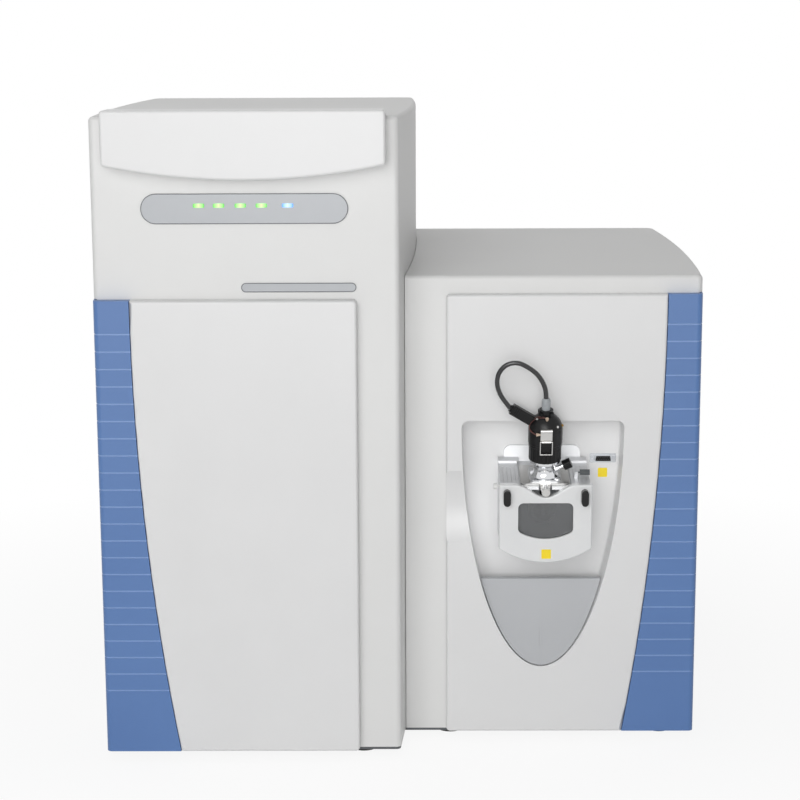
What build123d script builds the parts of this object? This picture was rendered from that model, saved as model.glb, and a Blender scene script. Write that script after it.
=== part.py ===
from build123d import *
import math
import os

# Benchtop mass spectrometer: a tall tower cabinet on the left holds the mass analyser, and a lower
# cabinet on the right carries the ion source in a recess of its front panel.
# Millimetres, +Z up, the front faces -Y. The origin is on the bench, under the middle of the instrument.

# ---------------------------------------------------------------- overall form
FOOT_HEIGHT = 14.4          # bench to the underside of the covers
TOWER_TOP = 940.0           # top of the tower cover
LOW_TOP = 705.7             # top of the right cabinet
REAR_Y = 410.0              # outer face of the rear panels
TOWER_FRONT_Y = -372.7      # front wall of the tower, behind its door
LOW_FRONT_Y = -291.8        # front wall of the right cabinet, behind its panel
COVER_WALL = 3.5            # moulded covers
FRONT_CORNER_R = 8.0        # upright front corners
REAR_CORNER_R = 20.0        # upright rear corners
TOP_EDGE_R = 7.0            # edge between top and walls
REAR_PANEL = 3.0            # sheet thickness of the rear panels
CABINET_GAP = 0.8           # between the two cabinets
PANEL_LIFT = 0.6            # front panels above the underside of the covers
SEAT = 0.3                  # running gap between bodies that move on each other
CUT = 1.0                   # cutting shapes reach past the faces they cut by this much

# bowed side walls in plan: (x, y) at the front, at the widest place and at the rear
LEFT_WALL = ((-437.9, TOWER_FRONT_Y), (-455.0, 60.0), (-447.0, REAR_Y))
MIDDLE_WALL = ((-4.1, TOWER_FRONT_Y), (18.6, 60.0), (16.0, REAR_Y))
RIGHT_WALL = ((436.9, LOW_FRONT_Y), (455.0, 130.0), (448.0, REAR_Y))

# ---------------------------------------------------------------- front panels
DOOR_PROUD = 21.0           # left door in front of the tower wall
LEFT_DOOR_DROP = 257.2      # top of the left door below the top of the tower
LEFT_DOOR_TOP = TOWER_TOP - LEFT_DOOR_DROP
LEFT_DOOR_EDGE_X = -64.5    # upright free edge of the left door
RIGHT_PANEL_PROUD = 18.2
RIGHT_PANEL_DROP = 26.2     # top of the right panel below the top of its cabinet
RIGHT_PANEL_TOP = LOW_TOP - RIGHT_PANEL_DROP
RIGHT_PANEL_EDGE_X = 63.6   # upright inner edge of the right panel
PANEL_WALL = 3.0
PANEL_EDGE_R = 4.0
PANEL_CORNER_R = 6.0
PANEL_GAP = 0.6             # between a white panel and the blue corner beside it
CURVE_X = 385.3             # where the curved joint line starts at the top, from the middle
CURVE_R = 3850.0            # radius of that joint line, upright at the top
CORNER_START_X = 250.0      # the blue corners are cut from blocks that start here
CORNER_SET_BACK = 2.0       # blue corner panels behind the face of the white ones
WING_DEPTH = 110.0          # how far the blue corners reach back along the sides
WING_GAP = 0.6
GROOVE_DROP = 47.5          # first groove below the top of the left door
GROOVE_FIRST_Z = LEFT_DOOR_TOP - GROOVE_DROP
GROOVE_PITCH = 25.08
GROOVE_COUNT = 22
GROOVE_HEIGHT = 2.0
GROOVE_DEPTH = 1.2

# the left door and its blue side swing together on pivots in a bead along the wing's rear edge
DOOR_BACK_GAP = 1.0         # door behind its face to the tower's front wall
BEAD_R = 6.5
BEAD_INSET = 0.3            # bead inside the wing's outer face
PIVOT_R = 2.5
PIVOT_REACH = 20.0
PIVOT_PLATE = 34.0
PIVOT_PLATE_THICK = 4.0

# ---------------------------------------------------------------- chassis and rear
DECK_PLATE = 4.0            # steel base plate
DECK_PLATE_Z = FOOT_HEIGHT - DECK_PLATE
PLATE_INSET = 1.0           # base plate inside the outline of the covers
TUBE = 28.0                 # square tube of the uprights and rails
CHASSIS_X = (-426.0, 425.0)
TOWER_POST_X = -26.0        # right uprights of the tower
LOW_POST_X = 42.0           # left uprights of the right cabinet
FOOT_R = 22.0
FOOT_TAPER = 2.0
FOOT_INSET = 42.0           # middle of a foot behind the front walls and ahead of the rear
FOOT_REAR_X = (-395.0, 30.0, 390.0)
FOOT_TOWER_X = (-395.0, -60.0)
FOOT_LOW_X = (70.0, 390.0)
ACCESS_X = (-345.0, -95.0)  # service opening behind the door
ACCESS_SILL = 42.8          # service opening inside the top and bottom of the door
ACCESS_Z = (FOOT_HEIGHT + ACCESS_SILL, LEFT_DOOR_TOP - ACCESS_SILL)
ACCESS_CORNER_R = 12.0
REAR_FRAME = 34.0           # rim of the rear wall round its opening
REAR_LAP = 8.0              # the rear panel laps over that rim
VENT_HEIGHT = 5.0
VENT_PITCH = 14.0

# vacuum housing: one long aluminium block from the source to the analyser, on rails of the chassis
BEAM_Y = (60.0, 230.0)
BEAM_Z = (300.0, 420.0)
BEAM_CLEARANCE = 12.0
BEAM_RAIL_Y = (67.0, 223.0)
BEAM_X = (-330.0, 330.0)
LID_X = (-70.0, 130.0, 260.0)
LID_SIZE = (110.0, 130.0)
ANALYSER_X = -230.0
PUMP_X = (-250.0, -110.0, 125.0, 262.0)
PUMP_R = 52.0
PUMP_FLANGE = (62.0, 12.0)  # radius and thickness
PUMP_BODY = 85.0            # flange face to the shoulder
PUMP_CONE = 10.0
PUMP_FOOT_R = 38.0          # motor housing under the shoulder
PUMP_LENGTH = 150.0
BEAM_CHAMFER = 6.0
LID_THICK = 12.0
LID_CORNER_R = 8.0
CHAMBER_R = 66.0
CHAMBER_HEIGHT = 150.0
CHAMBER_FLANGE_R = 82.0
CHAMBER_FLANGE = 20.0
CHAMBER_CAP = 18.0
TRANSFER_R = 17.0
INLET_CONE = ((0.0, 38.0), (3.0, 38.0), (13.0, 20.0), (15.0, 6.0))  # radius, distance from the mount
RACK_X = (-330.0, -110.0)
RACK_Y = (TOWER_FRONT_Y + 52.7, TOWER_FRONT_Y + 302.7)
RACK_TOP = 250.0
RACK_WALL = 2.0
BOARD_COUNT = 7
BOARD_THICK = 1.6
BOARD_SET_BACK = 12.0       # boards behind the open front of the rack
SUPPLY_X = (90.0, 330.0)
SUPPLY_Y = (REAR_Y - 230.0, REAR_Y - 50.0)
SUPPLY_HEIGHT = 110.0
SUPPLY_CHAMFER = 3.0

# ---------------------------------------------------------------- header, lamps, strip
HEADER_X = (-417.2, -22.0)
HEADER_RISE = 9.4           # the brow stands above the tower by this much
HEADER_TOP = TOWER_TOP + HEADER_RISE
HEADER_SKIRT = 76.0         # height of the brow at its ends
HEADER_SIDE_Z = HEADER_TOP - HEADER_SKIRT
HEADER_DROP = 20.6          # the underside bellies down by this much in the middle
HEADER_PROUD = 37.3
HEADER_FRONT_Y = TOWER_FRONT_Y - HEADER_PROUD
HEADER_WALL = 4.0
HEADER_EDGE_R = 5.0
HEADER_CAP = 30.0           # the brow reaches back over the top by this much
STATUS_X = (-367.3, -76.0)
STATUS_DROP = 129.0         # middle of the lamp panel below the top of the tower
STATUS_Z = TOWER_TOP - STATUS_DROP
STATUS_HEIGHT = 41.7
STATUS_THICK = 1.6
LAMP_X = (-285.7, -257.5, -227.0, -197.4, -160.5)
LAMP_RISE = 4.5             # lamps above the middle of their panel
LAMP_Z = STATUS_Z + LAMP_RISE
LAMP_SIZE = (16.0, 5.6)
LAMP_CORNER_R = 1.5
LAMP_PROUD = 0.8
STRIP_X = (-227.4, -65.4)
STRIP_RISE = 16.5           # middle of the strip above the left door
STRIP_Z = LEFT_DOOR_TOP + STRIP_RISE
STRIP_HEIGHT = 12.0
STRIP_THICK = 1.4

# ---------------------------------------------------------------- recess of the right panel
RECESS_X = 205.2            # middle of the recess
RECESS_HALF = 119.5         # half width at the top
DECK_FRONT_Z = 406.3        # top deck of the ion source at its front edge
RECESS_RISE = 87.0          # top of the recess above that edge
RECESS_TOP = DECK_FRONT_Z + RECESS_RISE
RECESS_DROP = 375.5         # top edge to the lowest point of the half ellipse
RECESS_CORNER_R = 11.0
RECESS_DEPTH = 52.0         # face of the panel to the back wall
RECESS_WALL_Y = LOW_FRONT_Y - RIGHT_PANEL_PROUD + RECESS_DEPTH
RECESS_WALL = 3.0
RECESS_FLOOR_R = 3.5        # blend between side wall and back wall
TRAY_DROP = 243.8           # top of the sloping tray below the top of the recess
TRAY_TOP_Z = RECESS_TOP - TRAY_DROP
TRAY_SET_BACK = 18.0        # top edge of the sloping tray behind the panel's face
TRAY_TOE_BACK = 2.0         # its toe behind the panel's face
TRAY_GAP = 1.4
TRAY_WALL = 3.0
TRAY_LEDGE = 9.0
TRAY_EDGE_R = 2.5
TRAY_RIB_X = (-60.0, 0.0, 60.0)
TRAY_RIB_LIFT = 30.0        # ribs above the toe of the tray
SCOOP_Z = DECK_FRONT_Z - 41.8  # middle of the hollow that runs from the recess to the panel's edge
SCOOP_HALF = 54.0
SCOOP_DEPTH = 14.0
SOURCE_X = RECESS_X + 1.8
CHASE_X = (SOURCE_X - 35.2, SOURCE_X + 36.6)  # raised strip on the back wall above the source
CHASE_PROUD = 1.2

# ---------------------------------------------------------------- ion source
SOURCE_HALF = 67.6          # half width of the front cover
BODY_INSET = 2.0            # housing inside the outline of its cover
SOURCE_DEPTH = 92.0         # back wall to the back of the front cover
COVER_THICK = 12.0
COVER_BACK_Y = RECESS_WALL_Y - SOURCE_DEPTH
COVER_FACE_Y = COVER_BACK_Y - COVER_THICK
MOUNT_THICK = 6.0
DECK_SLOPE = 13.0           # the deck falls towards the user by this angle
COVER_TOP_Z = DECK_FRONT_Z + 2.7
COVER_DIP = 18.5            # the wave in the cover's top edge
WAVE_HALF = 44.0
COVER_SIDE_Z = COVER_TOP_Z - 95.3  # lower corners of the cover
COVER_BELLY = 21.0
COVER_EDGE_R = 2.5
WINDOW_HALF = 40.0
WINDOW_Z = (COVER_TOP_Z - 70.0, COVER_TOP_Z - 27.2)
WINDOW_BELLY = 10.8
WINDOW_CORNER_R = 8.0
GLASS_THICK = 3.0
SEAL_WIDTH = 2.2
HOUSING_WALL = 7.0
SEAL_DEPTH = 7.0            # rebate for the seal, from the back of the cover
SEAL_LIP = 1.5
SEAL_GRIP = 0.4             # seal inside the edge of the window's opening
MOUNT_TOP_Z = DECK_FRONT_Z + 18.7  # shoulders of the mount plate
ARCH_TOP_Z = MOUNT_TOP_Z + 22.0
ARCH_HALF = 57.0
ARCH_CORNER_R = 11.0
GUIDE_X = (-50.0, 50.0)     # guide pins of the mount, from the middle of the source
GUIDE_Z = DECK_FRONT_Z - 76.3
GUIDE_R = 4.0
GUIDE_LENGTH = 30.0
INLET_Z = DECK_FRONT_Z - 54.3  # ion inlet
INLET_HOLE_R = 24.0
TUBE_FLANGE_R = 21.0
REAR_BAR = 14.0
REAR_BAR_HEIGHT = 3.5
RIB_PITCH = 6.0
RIB_COUNT = 4
RIB_GROOVE = 1.2
RIB_LENGTH = 58.0
RIB_START = 5.0             # ribs behind the deck's front edge
RIB_MARGIN = 4.8            # first groove outside the channel
BARREL_CLEARANCE = 2.0      # slot in the deck round the probe's barrel
LEVER_SHAFT = 24.0          # lever shaft behind the cover's face

# data socket on the back wall
SOCKET_X = SOURCE_X + 91.7
SOCKET_Z = DECK_FRONT_Z + 20.1
SOCKET_SIZE = (39.2, 13.6)
SOCKET_FLANGE = 1.2
SOCKET_SHELL = (25.5, 9.6)
SOCKET_CORNER_R = 1.5
SHELL_ANGLE = 80            # slope of the shell's ends
SHELL_CORNER_R = 2.0
SHELL_WALL = 0.8
SHELL_PROUD = 6.0
INSERT_PROUD = 5.0
CONTACT_PITCH = 2.7
CONTACT_ROWS = ((1.4, 8), (-1.4, 7))  # height of the row, number of contacts
CONTACT_R = 0.5
JACK_INSET = 3.6            # jack nuts from the ends of the flange
JACK_NUT = (2.6, 3.6)       # corner radius and height
JACK_BORE_R = 1.2

# levers that lock the housing on its mount
LEVER_OFFSET = 56.3
LEVER_PIVOT_Z = COVER_TOP_Z - 11.4
LEVER_WIDTH = 10.4
LEVER_LENGTH = 13.2         # pivot to the centre of the rounded tip
LEVER_PROUD = 13.0
LEVER_EDGE_R = 1.5
LEVER_SHAFT_R = 3.0
SHAFT_CLEARANCE = 0.06      # radial, on every turning shaft

# port plate and probe, heights measured square to the deck
PROBE_ALONG = 28.8          # probe axis behind the deck's front edge
PORT_HALF = 35.6            # half width of the sliding port plate
PORT_LENGTH = 62.0
PORT_THICK = 3.5
CHANNEL_DEPTH = 3.2         # channel in the deck that the plate runs in
CHANNEL_GAP = 2.4           # dark gap each side of the plate
PORT_TRAVEL = 4.0           # the plate moves this far each way
PLATE_CORNER_R = 2.0
BASE_SIZE = 47.0            # square foot of the probe port
BASE_THICK = 4.0
BASE_CORNER_R = 6.0
NECK_TOP_H = 30.0
NECK_FOOT_R = 20.5
NECK_WAIST_R = 15.5
NECK_LIP = 4.0              # straight lip under the locking ring
RING_R = 23.7
RING_HEIGHT = 20.0
RING_FLUTES = 24
RING_FLUTE = 0.8
SPIGOT_R = 15.0
HEAD_R = 25.1
HEAD_TOP_H = 99.5
HEAD_TOP_R = 11.0
HEAD_BORE_R = 4.4
HEAD_DOME = 21.5            # the dome starts this far below the top
HEAD_DOME_MID = (4.2, 9.0)  # a point of the dome: inside the head's side, below its top
HEAD_SKIRT = (0.8, 5.0)     # set back and height of the band at the foot of the head
COLLAR_R = 10.2
COLLAR_HEIGHT = 8.0
LUG_COUNT = 4
LUG_SIZE = (6.0, 7.5, 1.2)  # reach, width and corner radius
LUG_DROP = 2.5              # lugs below the top of the collar
LUG_RADIUS = 9.6
FITTING_R = 6.4
FITTING_HEIGHT = 19.0
FITTING_TIP = 6.5
FITTING_LIP = 0.7
SLEEVE_FLOOR = 18.5         # the lead starts this far above the top of the head
BARREL_R = 6.0
BARREL_REACH = 46.0         # barrel below the deck
BARREL_TAPER = (2.5, 8.0)
NOZZLE_R = 2.0
NOZZLE_LENGTH = 9.0
CONNECTOR_TILT = 32.0
CONNECTOR_START = (-14.0, -13.2)  # sideways from the probe axis, below the top of the head
CONNECTOR_LENGTH = 42.0
CONNECTOR_SIZE = (15.5, 13.0)
CONNECTOR_CORNER_R = 3.0
CONNECTOR_TAIL = (5.1, 3.0)  # radius and length
GRIP_COUNT = 3
GRIP_PITCH = 3.0
GRIP_WIDTH = 1.0
GRIP_DEPTH = 0.5
CABLE_D = 7.0
# cable route beside the probe: (sideways from the probe axis, height above the top of the head)
CABLE_ROUTE = (
    (0.0, SLEEVE_FLOOR), (0.0, 34.5), (-5.0, 50.0), (-14.0, 63.5), (-26.5, 73.5), (-41.5, 81.5),
    (-57.5, 79.0), (-68.5, 67.5), (-72.0, 52.0), (-69.0, 36.5), (-61.5, 22.5), (-52.2, 10.6),
)
CABLE_TURN = 0.45           # share of the shorter run beside a corner that its arc takes up

# small controls on the source
KNOB_R = 6.4                # front thumb knob of the port plate
KNOB_LENGTH = 17.0
KNOB_FLUTES = 16
KNOB_FLUTE = 0.45
KNOB_BEVEL = 0.5
LOCK_KNOB_R = 7.6
LOCK_KNOB_LENGTH = 12.0
LOCK_KNOB_LOBES = 6
LOCK_KNOB_BITE = 1.3
WHEEL_R = 4.3
WHEEL_LENGTH = 14.4
WHEEL_FLUTES = 18
WHEEL_FLUTE = 0.4
SIDE_KNOB_R = 4.5
SIDE_KNOB_LENGTH = 5.0
SIDE_KNOB_Y = COVER_BACK_Y + 20.2
SIDE_KNOB_Z = DECK_FRONT_Z - 6.3
SIDE_ROD = 4.0              # rod between the knob and the housing
SIDE_ROD_GRIP = 4.0         # rod inside the housing's wall
SIDE_ROD_R = 1.2
KNOB_CHAMFER = 0.8
PORT_FRONT = 4.4            # front edge of the port plate behind the deck's front edge
NOSE_WIDTH = 15.0           # nose of the port plate, hanging in a notch of the deck
NOSE_THICK = 4.8
NOSE_DROP = 8.6
NOSE_START = 0.4            # face of the nose behind the deck's front edge
NOTCH_HALF = 9.5
NOTCH_LENGTH = 10.0
SCREW_H = -5.1              # lead screw below the deck
SCREW_R = 1.5
SCREW_LENGTH = 16.0
LOCK_ARM_H = 10.3
LOCK_ARM_REACH = 30.0
LOCK_ARM_R = 4.0
LOCK_SCREW_R = 2.0
LOCK_SCREW = 11.0           # screw inside the arm
LOCK_LEAN = math.radians(25)
WHEEL_X = 59.0              # middle of the wheel, from the middle of the deck
WHEEL_ALONG = 27.7
WHEEL_H = 7.0
WHEEL_ROD = 8.0
WHEEL_ROD_R = 0.9
STAND_SIZE = (5.0, 8.0)     # along the rod and along the deck
STAND_RISE = 2.4            # bracket above the rod's axis

# clip, bail and ferrules on the probe head
HEAD_DEPTH = 14.0           # barrel end inside the head
FLAT_DEPTH = 1.6            # flat on the front of the head for the clip
CLIP_H = HEAD_TOP_H - 22.5
CLIP_WIDTH = 17.0
CLIP_HEIGHT = 18.0
CLIP_THICK = 1.4
CLIP_ROLL_R = 2.2
BAIL_WIRE_R = 0.75
BAIL_EYE_R = 1.9
BAIL_H = HEAD_TOP_H - 32.5
BAIL_HALF = 8.6
BAIL_DROP = 20.0
BAIL_Y = -26.2
FERRULE_H = HEAD_TOP_H - 21.5
FERRULE_LENGTH = 6.0
FERRULE_ENDS = (1.3, 2.6)
FERRULE_INSET = 0.9         # side ferrule behind the front of the head
DOME_FERRULE = (0.8, -14.4, -5.2)  # sideways, along the deck, below the top of the head
DOME_FERRULE_LEAN = 0.35

# rear of the instrument
FAN_SIZE = 119.0
FAN_DEPTH = 38.0
FAN_BORE_R = 56.0
FAN_HUB_R = 22.0
FAN_BLADES = 7
FAN_X = -215.0
FAN_Z = (TOWER_TOP - 380.0, TOWER_TOP - 180.0)
FAN_CORNER_R = 7.0
FAN_SHAFT_R = 3.0
FAN_SHAFT = 20.0
FAN_SPOKES = 3
FAN_SPOKE = (3.0, 5.0)      # depth and width
FAN_HUB_BACK = 4.0          # fixed hub of the frame
FAN_CLEARANCE = 6.0         # rotor behind the grille
BLADE_TILT = 38.0
BLADE_THICK = 2.2
TIP_CLEARANCE = 1.5
GRILLE_RINGS = ((24.0, 29.0), (34.0, 39.0), (44.0, 49.0))
GRILLE_WEBS = 4
GRILLE_WEB = 5.0
TOWER_VENT = (FAN_X, 130.0, 16, 220.0)  # middle, first slot, number of slots, width
RIGHT_VENT = (232.0, 420.0, 14, 240.0)
SCREW_HEAD = (3.6, 2.2)     # radius and height
SCREW_SLOT = (4.8, 0.8, 1.0)  # length, width and depth
SCREW_MARGIN = 20.0         # first screw from the corner of its panel
INLET_BOX = (110.0, 120.0)  # middle of the mains inlet and switch
INLET_SIZE = (32.0, 62.0)
INLET_DEPTH = 32.0
INLET_FLANGE = (4.0, 3.0)   # reach round the opening and thickness
MAINS_SOCKET = (24.0, 16.5, 3.0)
MAINS_RISE = 14.0           # socket above the foot of the inlet
MAINS_DEPTH = 18.0
MAINS_PINS = ((-7.0, -1.5), (0.0, 2.0), (7.0, -1.5))
MAINS_PIN = (4.0, 2.0, 15.0)  # width, thickness and length
SWITCH_WELL = (22.0, 16.0)  # width and depth
SWITCH_AXIS = 6.6           # rocker pin behind the rear face
SWITCH_DROP = 17.0          # rocker pin below the top of the inlet
SWITCH_HALF = 9.0
SWITCH_DEPTH = 3.9
SWITCH_TILT = 10.0
SWITCH_WIDTH = 20.0
SWITCH_DISH = 1.1           # ends of the rocker's face above its middle
SWITCH_EDGE = 1.5           # its ends in front of the pin
SWITCH_KEEL = (3.0, 5.0)    # half height and depth of the part behind the pin
SWITCH_PIN_R = 1.8
SWITCH_ARM = 13.0           # pin each side of the rocker's middle
WELL_X = (203.0, 392.0)     # pressed well with the vacuum and gas connections
WELL_Z = (88.0, 172.0)
WELL_DEPTH = 34.0
WELL_WALL = 2.0
WELL_CORNER_R = 9.0
PORT_Z = sum(WELL_Z) / 2
PORT_X = (WELL_X[0] + 32.0, WELL_X[0] + 98.0)
PORT_R = 16.0
PORT_WALL = 6.0
PORT_FLANGE = (9.0, 4.0)    # reach round the tube and thickness
PORT_TAPER = 2.0
GAS_X = WELL_X[1] - 26.0
GAS_Z = (PORT_Z - 20.0, PORT_Z + 20.0)
GAS_R = 7.0
GAS_NUT = (11.0, 5.0)       # corner radius and height
GAS_BORE = (2.5, 20.0)
CONNECTION_INSET = 1.0      # ends of the connections inside the rear face
CONNECTION_TAIL = 9.0       # connections behind the floor of the well
SCREW_ROWS = 4


# ---------------------------------------------------------------- helpers
def block(x, y, z):
    """A box between three (low, high) pairs."""
    size = (x[1] - x[0], y[1] - y[0], z[1] - z[0])
    middle = (sum(x) / 2, sum(y) / 2, sum(z) / 2)
    return Pos(*middle) * Box(*size)


def rod(start, end, radius):
    """A round bar between two points."""
    a, b = Vector(*start), Vector(*end)
    along = b - a
    return Plane(origin=a, z_dir=along) * Pos(0, 0, along.length / 2) * Cylinder(radius, along.length)


def bowed(wall):
    """Centre and radius of the arc through a wall's three plan points."""
    (ax, ay), (bx, by), (cx, cy) = wall
    d = 2 * (ax * (by - cy) + bx * (cy - ay) + cx * (ay - by))
    a2, b2, c2 = ax * ax + ay * ay, bx * bx + by * by, cx * cx + cy * cy
    x = (a2 * (by - cy) + b2 * (cy - ay) + c2 * (ay - by)) / d
    y = (a2 * (cx - bx) + b2 * (ax - cx) + c2 * (bx - ax)) / d
    return x, y, math.hypot(ax - x, ay - y)


def wall_x(wall, y, inset=0.0):
    """X of a bowed wall at depth y."""
    cx, cy, r = bowed(wall)
    r -= inset
    reach = math.sqrt(r * r - (y - cy) ** 2)
    return cx + reach if wall[1][0] > cx else cx - reach


def wall_arc(wall, y0, y1, inset=0.0):
    """The stretch of a bowed wall between two depths."""
    spots = [(wall_x(wall, y, inset), y) for y in (y0, (y0 + y1) / 2, y1)]
    return ThreePointArc(*spots)


def plan(left, right, front_y, rear_y, inset=0.0, left_inset=None):
    """Plan outline of a cabinet: two bowed sides joined by a straight front and rear."""
    if left_inset is None:
        left_inset = inset
    front, rear = front_y + inset, rear_y - inset
    a = wall_arc(left, front, rear, left_inset)
    b = wall_arc(right, rear, front, inset)
    edges = [a, Line(a @ 1, b @ 0), b, Line(b @ 1, a @ 0)]
    return make_face(Curve() + edges)


def upright_corners(solid, low, high):
    """Upright edges whose middle lies between two depths."""
    edges = solid.edges().filter_by(Axis.Z)
    return [e for e in edges if low < e.center().Y < high]


def thicken(face, y0, y1):
    """Extrude a face drawn in (x, z) between two depths."""
    return Pos(0, y1, 0) * extrude(Plane.XZ * face, y1 - y0)


def pill(x0, x1, z, height):
    """A slot shape in (x, z) with round ends."""
    middle = (x0 + x1) / 2
    return Pos(middle, z) * SlotOverall(x1 - x0, height)


def joint_line(gap=0.0):
    """X of the curved joint line's arc centre and its radius, for the right-hand side."""
    return CURVE_X - CURVE_R, CURVE_R + gap


def panel_face(edge_x, top_z, gap=0.0, inset=0.0):
    """Front view of a white panel, drawn on the +X side: straight inner edge, curved outer edge."""
    centre, radius = joint_line(gap)
    radius -= inset
    low, high = FOOT_HEIGHT + PANEL_LIFT + inset, top_z - inset
    top = top_z

    def curve(z):
        return centre + math.sqrt(radius ** 2 - (z - top) ** 2)

    inner = abs(edge_x) + inset
    outer = ThreePointArc((curve(low), low), (curve((low + high) / 2), (low + high) / 2), (curve(high), high))
    sides = Polyline(outer @ 1, (inner, high), (inner, low), outer @ 0)
    return make_face(Curve() + [outer, sides])


def recess_face(inset=0.0):
    """Front view of the recess: a half ellipse under a straight top edge with rounded corners."""
    half, drop, top = RECESS_HALF - inset, RECESS_DROP - 2 * inset, RECESS_TOP - inset
    lower = EllipticalCenterArc((RECESS_X, top), half, drop, start_angle=180, arc_size=180)
    face = make_face(Curve() + [lower, Line(lower @ 1, lower @ 0)])
    corners = [v for v in face.vertices() if v.Y > top - 1]
    return fillet(corners, RECESS_CORNER_R - inset)


# ---------------------------------------------------------------- frames used by the source
TILT = math.radians(DECK_SLOPE)
DECK = Plane(
    origin=(SOURCE_X, COVER_BACK_Y, DECK_FRONT_Z),
    x_dir=(1, 0, 0),
    z_dir=(0, -math.sin(TILT), math.cos(TILT)),
)
PROBE = DECK * Pos(0, PROBE_ALONG, 0)
MOUNT_FACE_Y = RECESS_WALL_Y - MOUNT_THICK
HOUSING_REAR_Y = MOUNT_FACE_Y - SEAT
KNOB = DECK * Pos(0, 0, SCREW_H) * Rot(90, 0, 0)
WHEEL = DECK * Pos(WHEEL_X, WHEEL_ALONG, WHEEL_H) * Rot(0, 90, 0)
LEFT_DOOR_FACE_Y = TOWER_FRONT_Y - DOOR_PROUD
RIGHT_PANEL_FACE_Y = LOW_FRONT_Y - RIGHT_PANEL_PROUD


# ---------------------------------------------------------------- cabinets
def tower_cover():
    """Hood of the tower: four walls and the top in one moulding, open at the base and the rear."""
    outer = extrude(plan(LEFT_WALL, MIDDLE_WALL, TOWER_FRONT_Y, REAR_Y - REAR_PANEL), TOWER_TOP - FOOT_HEIGHT)
    outer = fillet(upright_corners(outer, 0, REAR_Y), REAR_CORNER_R)
    outer = fillet(upright_corners(outer, TOWER_FRONT_Y - 1, 0), FRONT_CORNER_R)
    outer = fillet(outer.faces().sort_by(Axis.Z)[-1].edges(), TOP_EDGE_R)
    hollow = plan(LEFT_WALL, MIDDLE_WALL, TOWER_FRONT_Y, REAR_Y - REAR_PANEL, COVER_WALL)
    inner = extrude(hollow, TOWER_TOP - FOOT_HEIGHT - COVER_WALL)
    inner = fillet(upright_corners(inner, 0, REAR_Y), REAR_CORNER_R - COVER_WALL)
    inner = fillet(upright_corners(inner, TOWER_FRONT_Y, 0), FRONT_CORNER_R - COVER_WALL)
    cover = Pos(0, 0, FOOT_HEIGHT) * (outer - inner)
    cover -= rear_opening(LEFT_WALL, MIDDLE_WALL, TOWER_TOP)
    cover -= door_opening()
    cover -= wing_rebate(LEFT_WALL, TOWER_FRONT_Y, LEFT_DOOR_TOP)
    cover -= beam_passage()
    return cover


def rear_opening(left, right, top):
    """Hole in the rear wall that a rear panel closes."""
    y = (REAR_Y - REAR_PANEL - COVER_WALL - CUT, REAR_Y)
    x = (wall_x(left, REAR_Y) + REAR_FRAME, wall_x(right, REAR_Y) - REAR_FRAME)
    return block(x, y, (FOOT_HEIGHT + REAR_FRAME, top - REAR_FRAME))


def rear_panel(left, right, top):
    """Sheet that closes the rear opening, screwed on round its edge."""
    x = (wall_x(left, REAR_Y) + REAR_FRAME - REAR_LAP, wall_x(right, REAR_Y) - REAR_FRAME + REAR_LAP)
    z = (FOOT_HEIGHT + REAR_FRAME - REAR_LAP, top - REAR_FRAME + REAR_LAP)
    panel = block(x, (REAR_Y - REAR_PANEL, REAR_Y), z)
    panel = fillet(panel.edges().filter_by(Axis.Y), REAR_LAP)
    radius, height = SCREW_HEAD
    for x, z in screw_places(left, right, top):
        panel -= rod((x, REAR_Y - height, z), (x, REAR_Y + CUT, z), radius + SHAFT_CLEARANCE)
    return panel


def louvres(x, z_first, count, width):
    """A stack of level ventilation slots through a rear panel."""
    slot = extrude(Plane.XZ * SlotOverall(width, VENT_HEIGHT), REAR_PANEL, both=True)
    return [Pos(x, REAR_Y - REAR_PANEL / 2, z_first + i * VENT_PITCH) * slot for i in range(count)]


def door_opening():
    """Service opening in the tower's front wall, behind the left door."""
    hole = block(ACCESS_X, (TOWER_FRONT_Y - CUT, TOWER_FRONT_Y + COVER_WALL + CUT), ACCESS_Z)
    return fillet(hole.edges().filter_by(Axis.Y), ACCESS_CORNER_R)


def beam_passage():
    """Hole through the walls between the cabinets, where the vacuum housing crosses."""
    reach = BEAM_CLEARANCE
    middle = wall_x(MIDDLE_WALL, sum(BEAM_Y) / 2)
    x = (middle - BEAM_CLEARANCE, middle + BEAM_CLEARANCE)
    return block(x, (BEAM_Y[0] - reach, BEAM_Y[1] + reach), (BEAM_Z[0] - TUBE - reach, BEAM_Z[1] + reach))


def wing_rebate(wall, front_y, top_z):
    """The strip of side wall that a blue corner panel takes the place of."""
    rear = front_y + WING_DEPTH
    outer = wall_arc(wall, front_y - CUT, rear, -CUT)
    inner = wall_arc(wall, rear, front_y - CUT, COVER_WALL + CUT)
    edges = [outer, Line(outer @ 1, inner @ 0), inner, Line(inner @ 1, outer @ 0)]
    strip = extrude(make_face(Curve() + edges), top_z + WING_GAP - FOOT_HEIGHT + CUT)
    return Pos(0, 0, FOOT_HEIGHT - CUT) * strip


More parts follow.
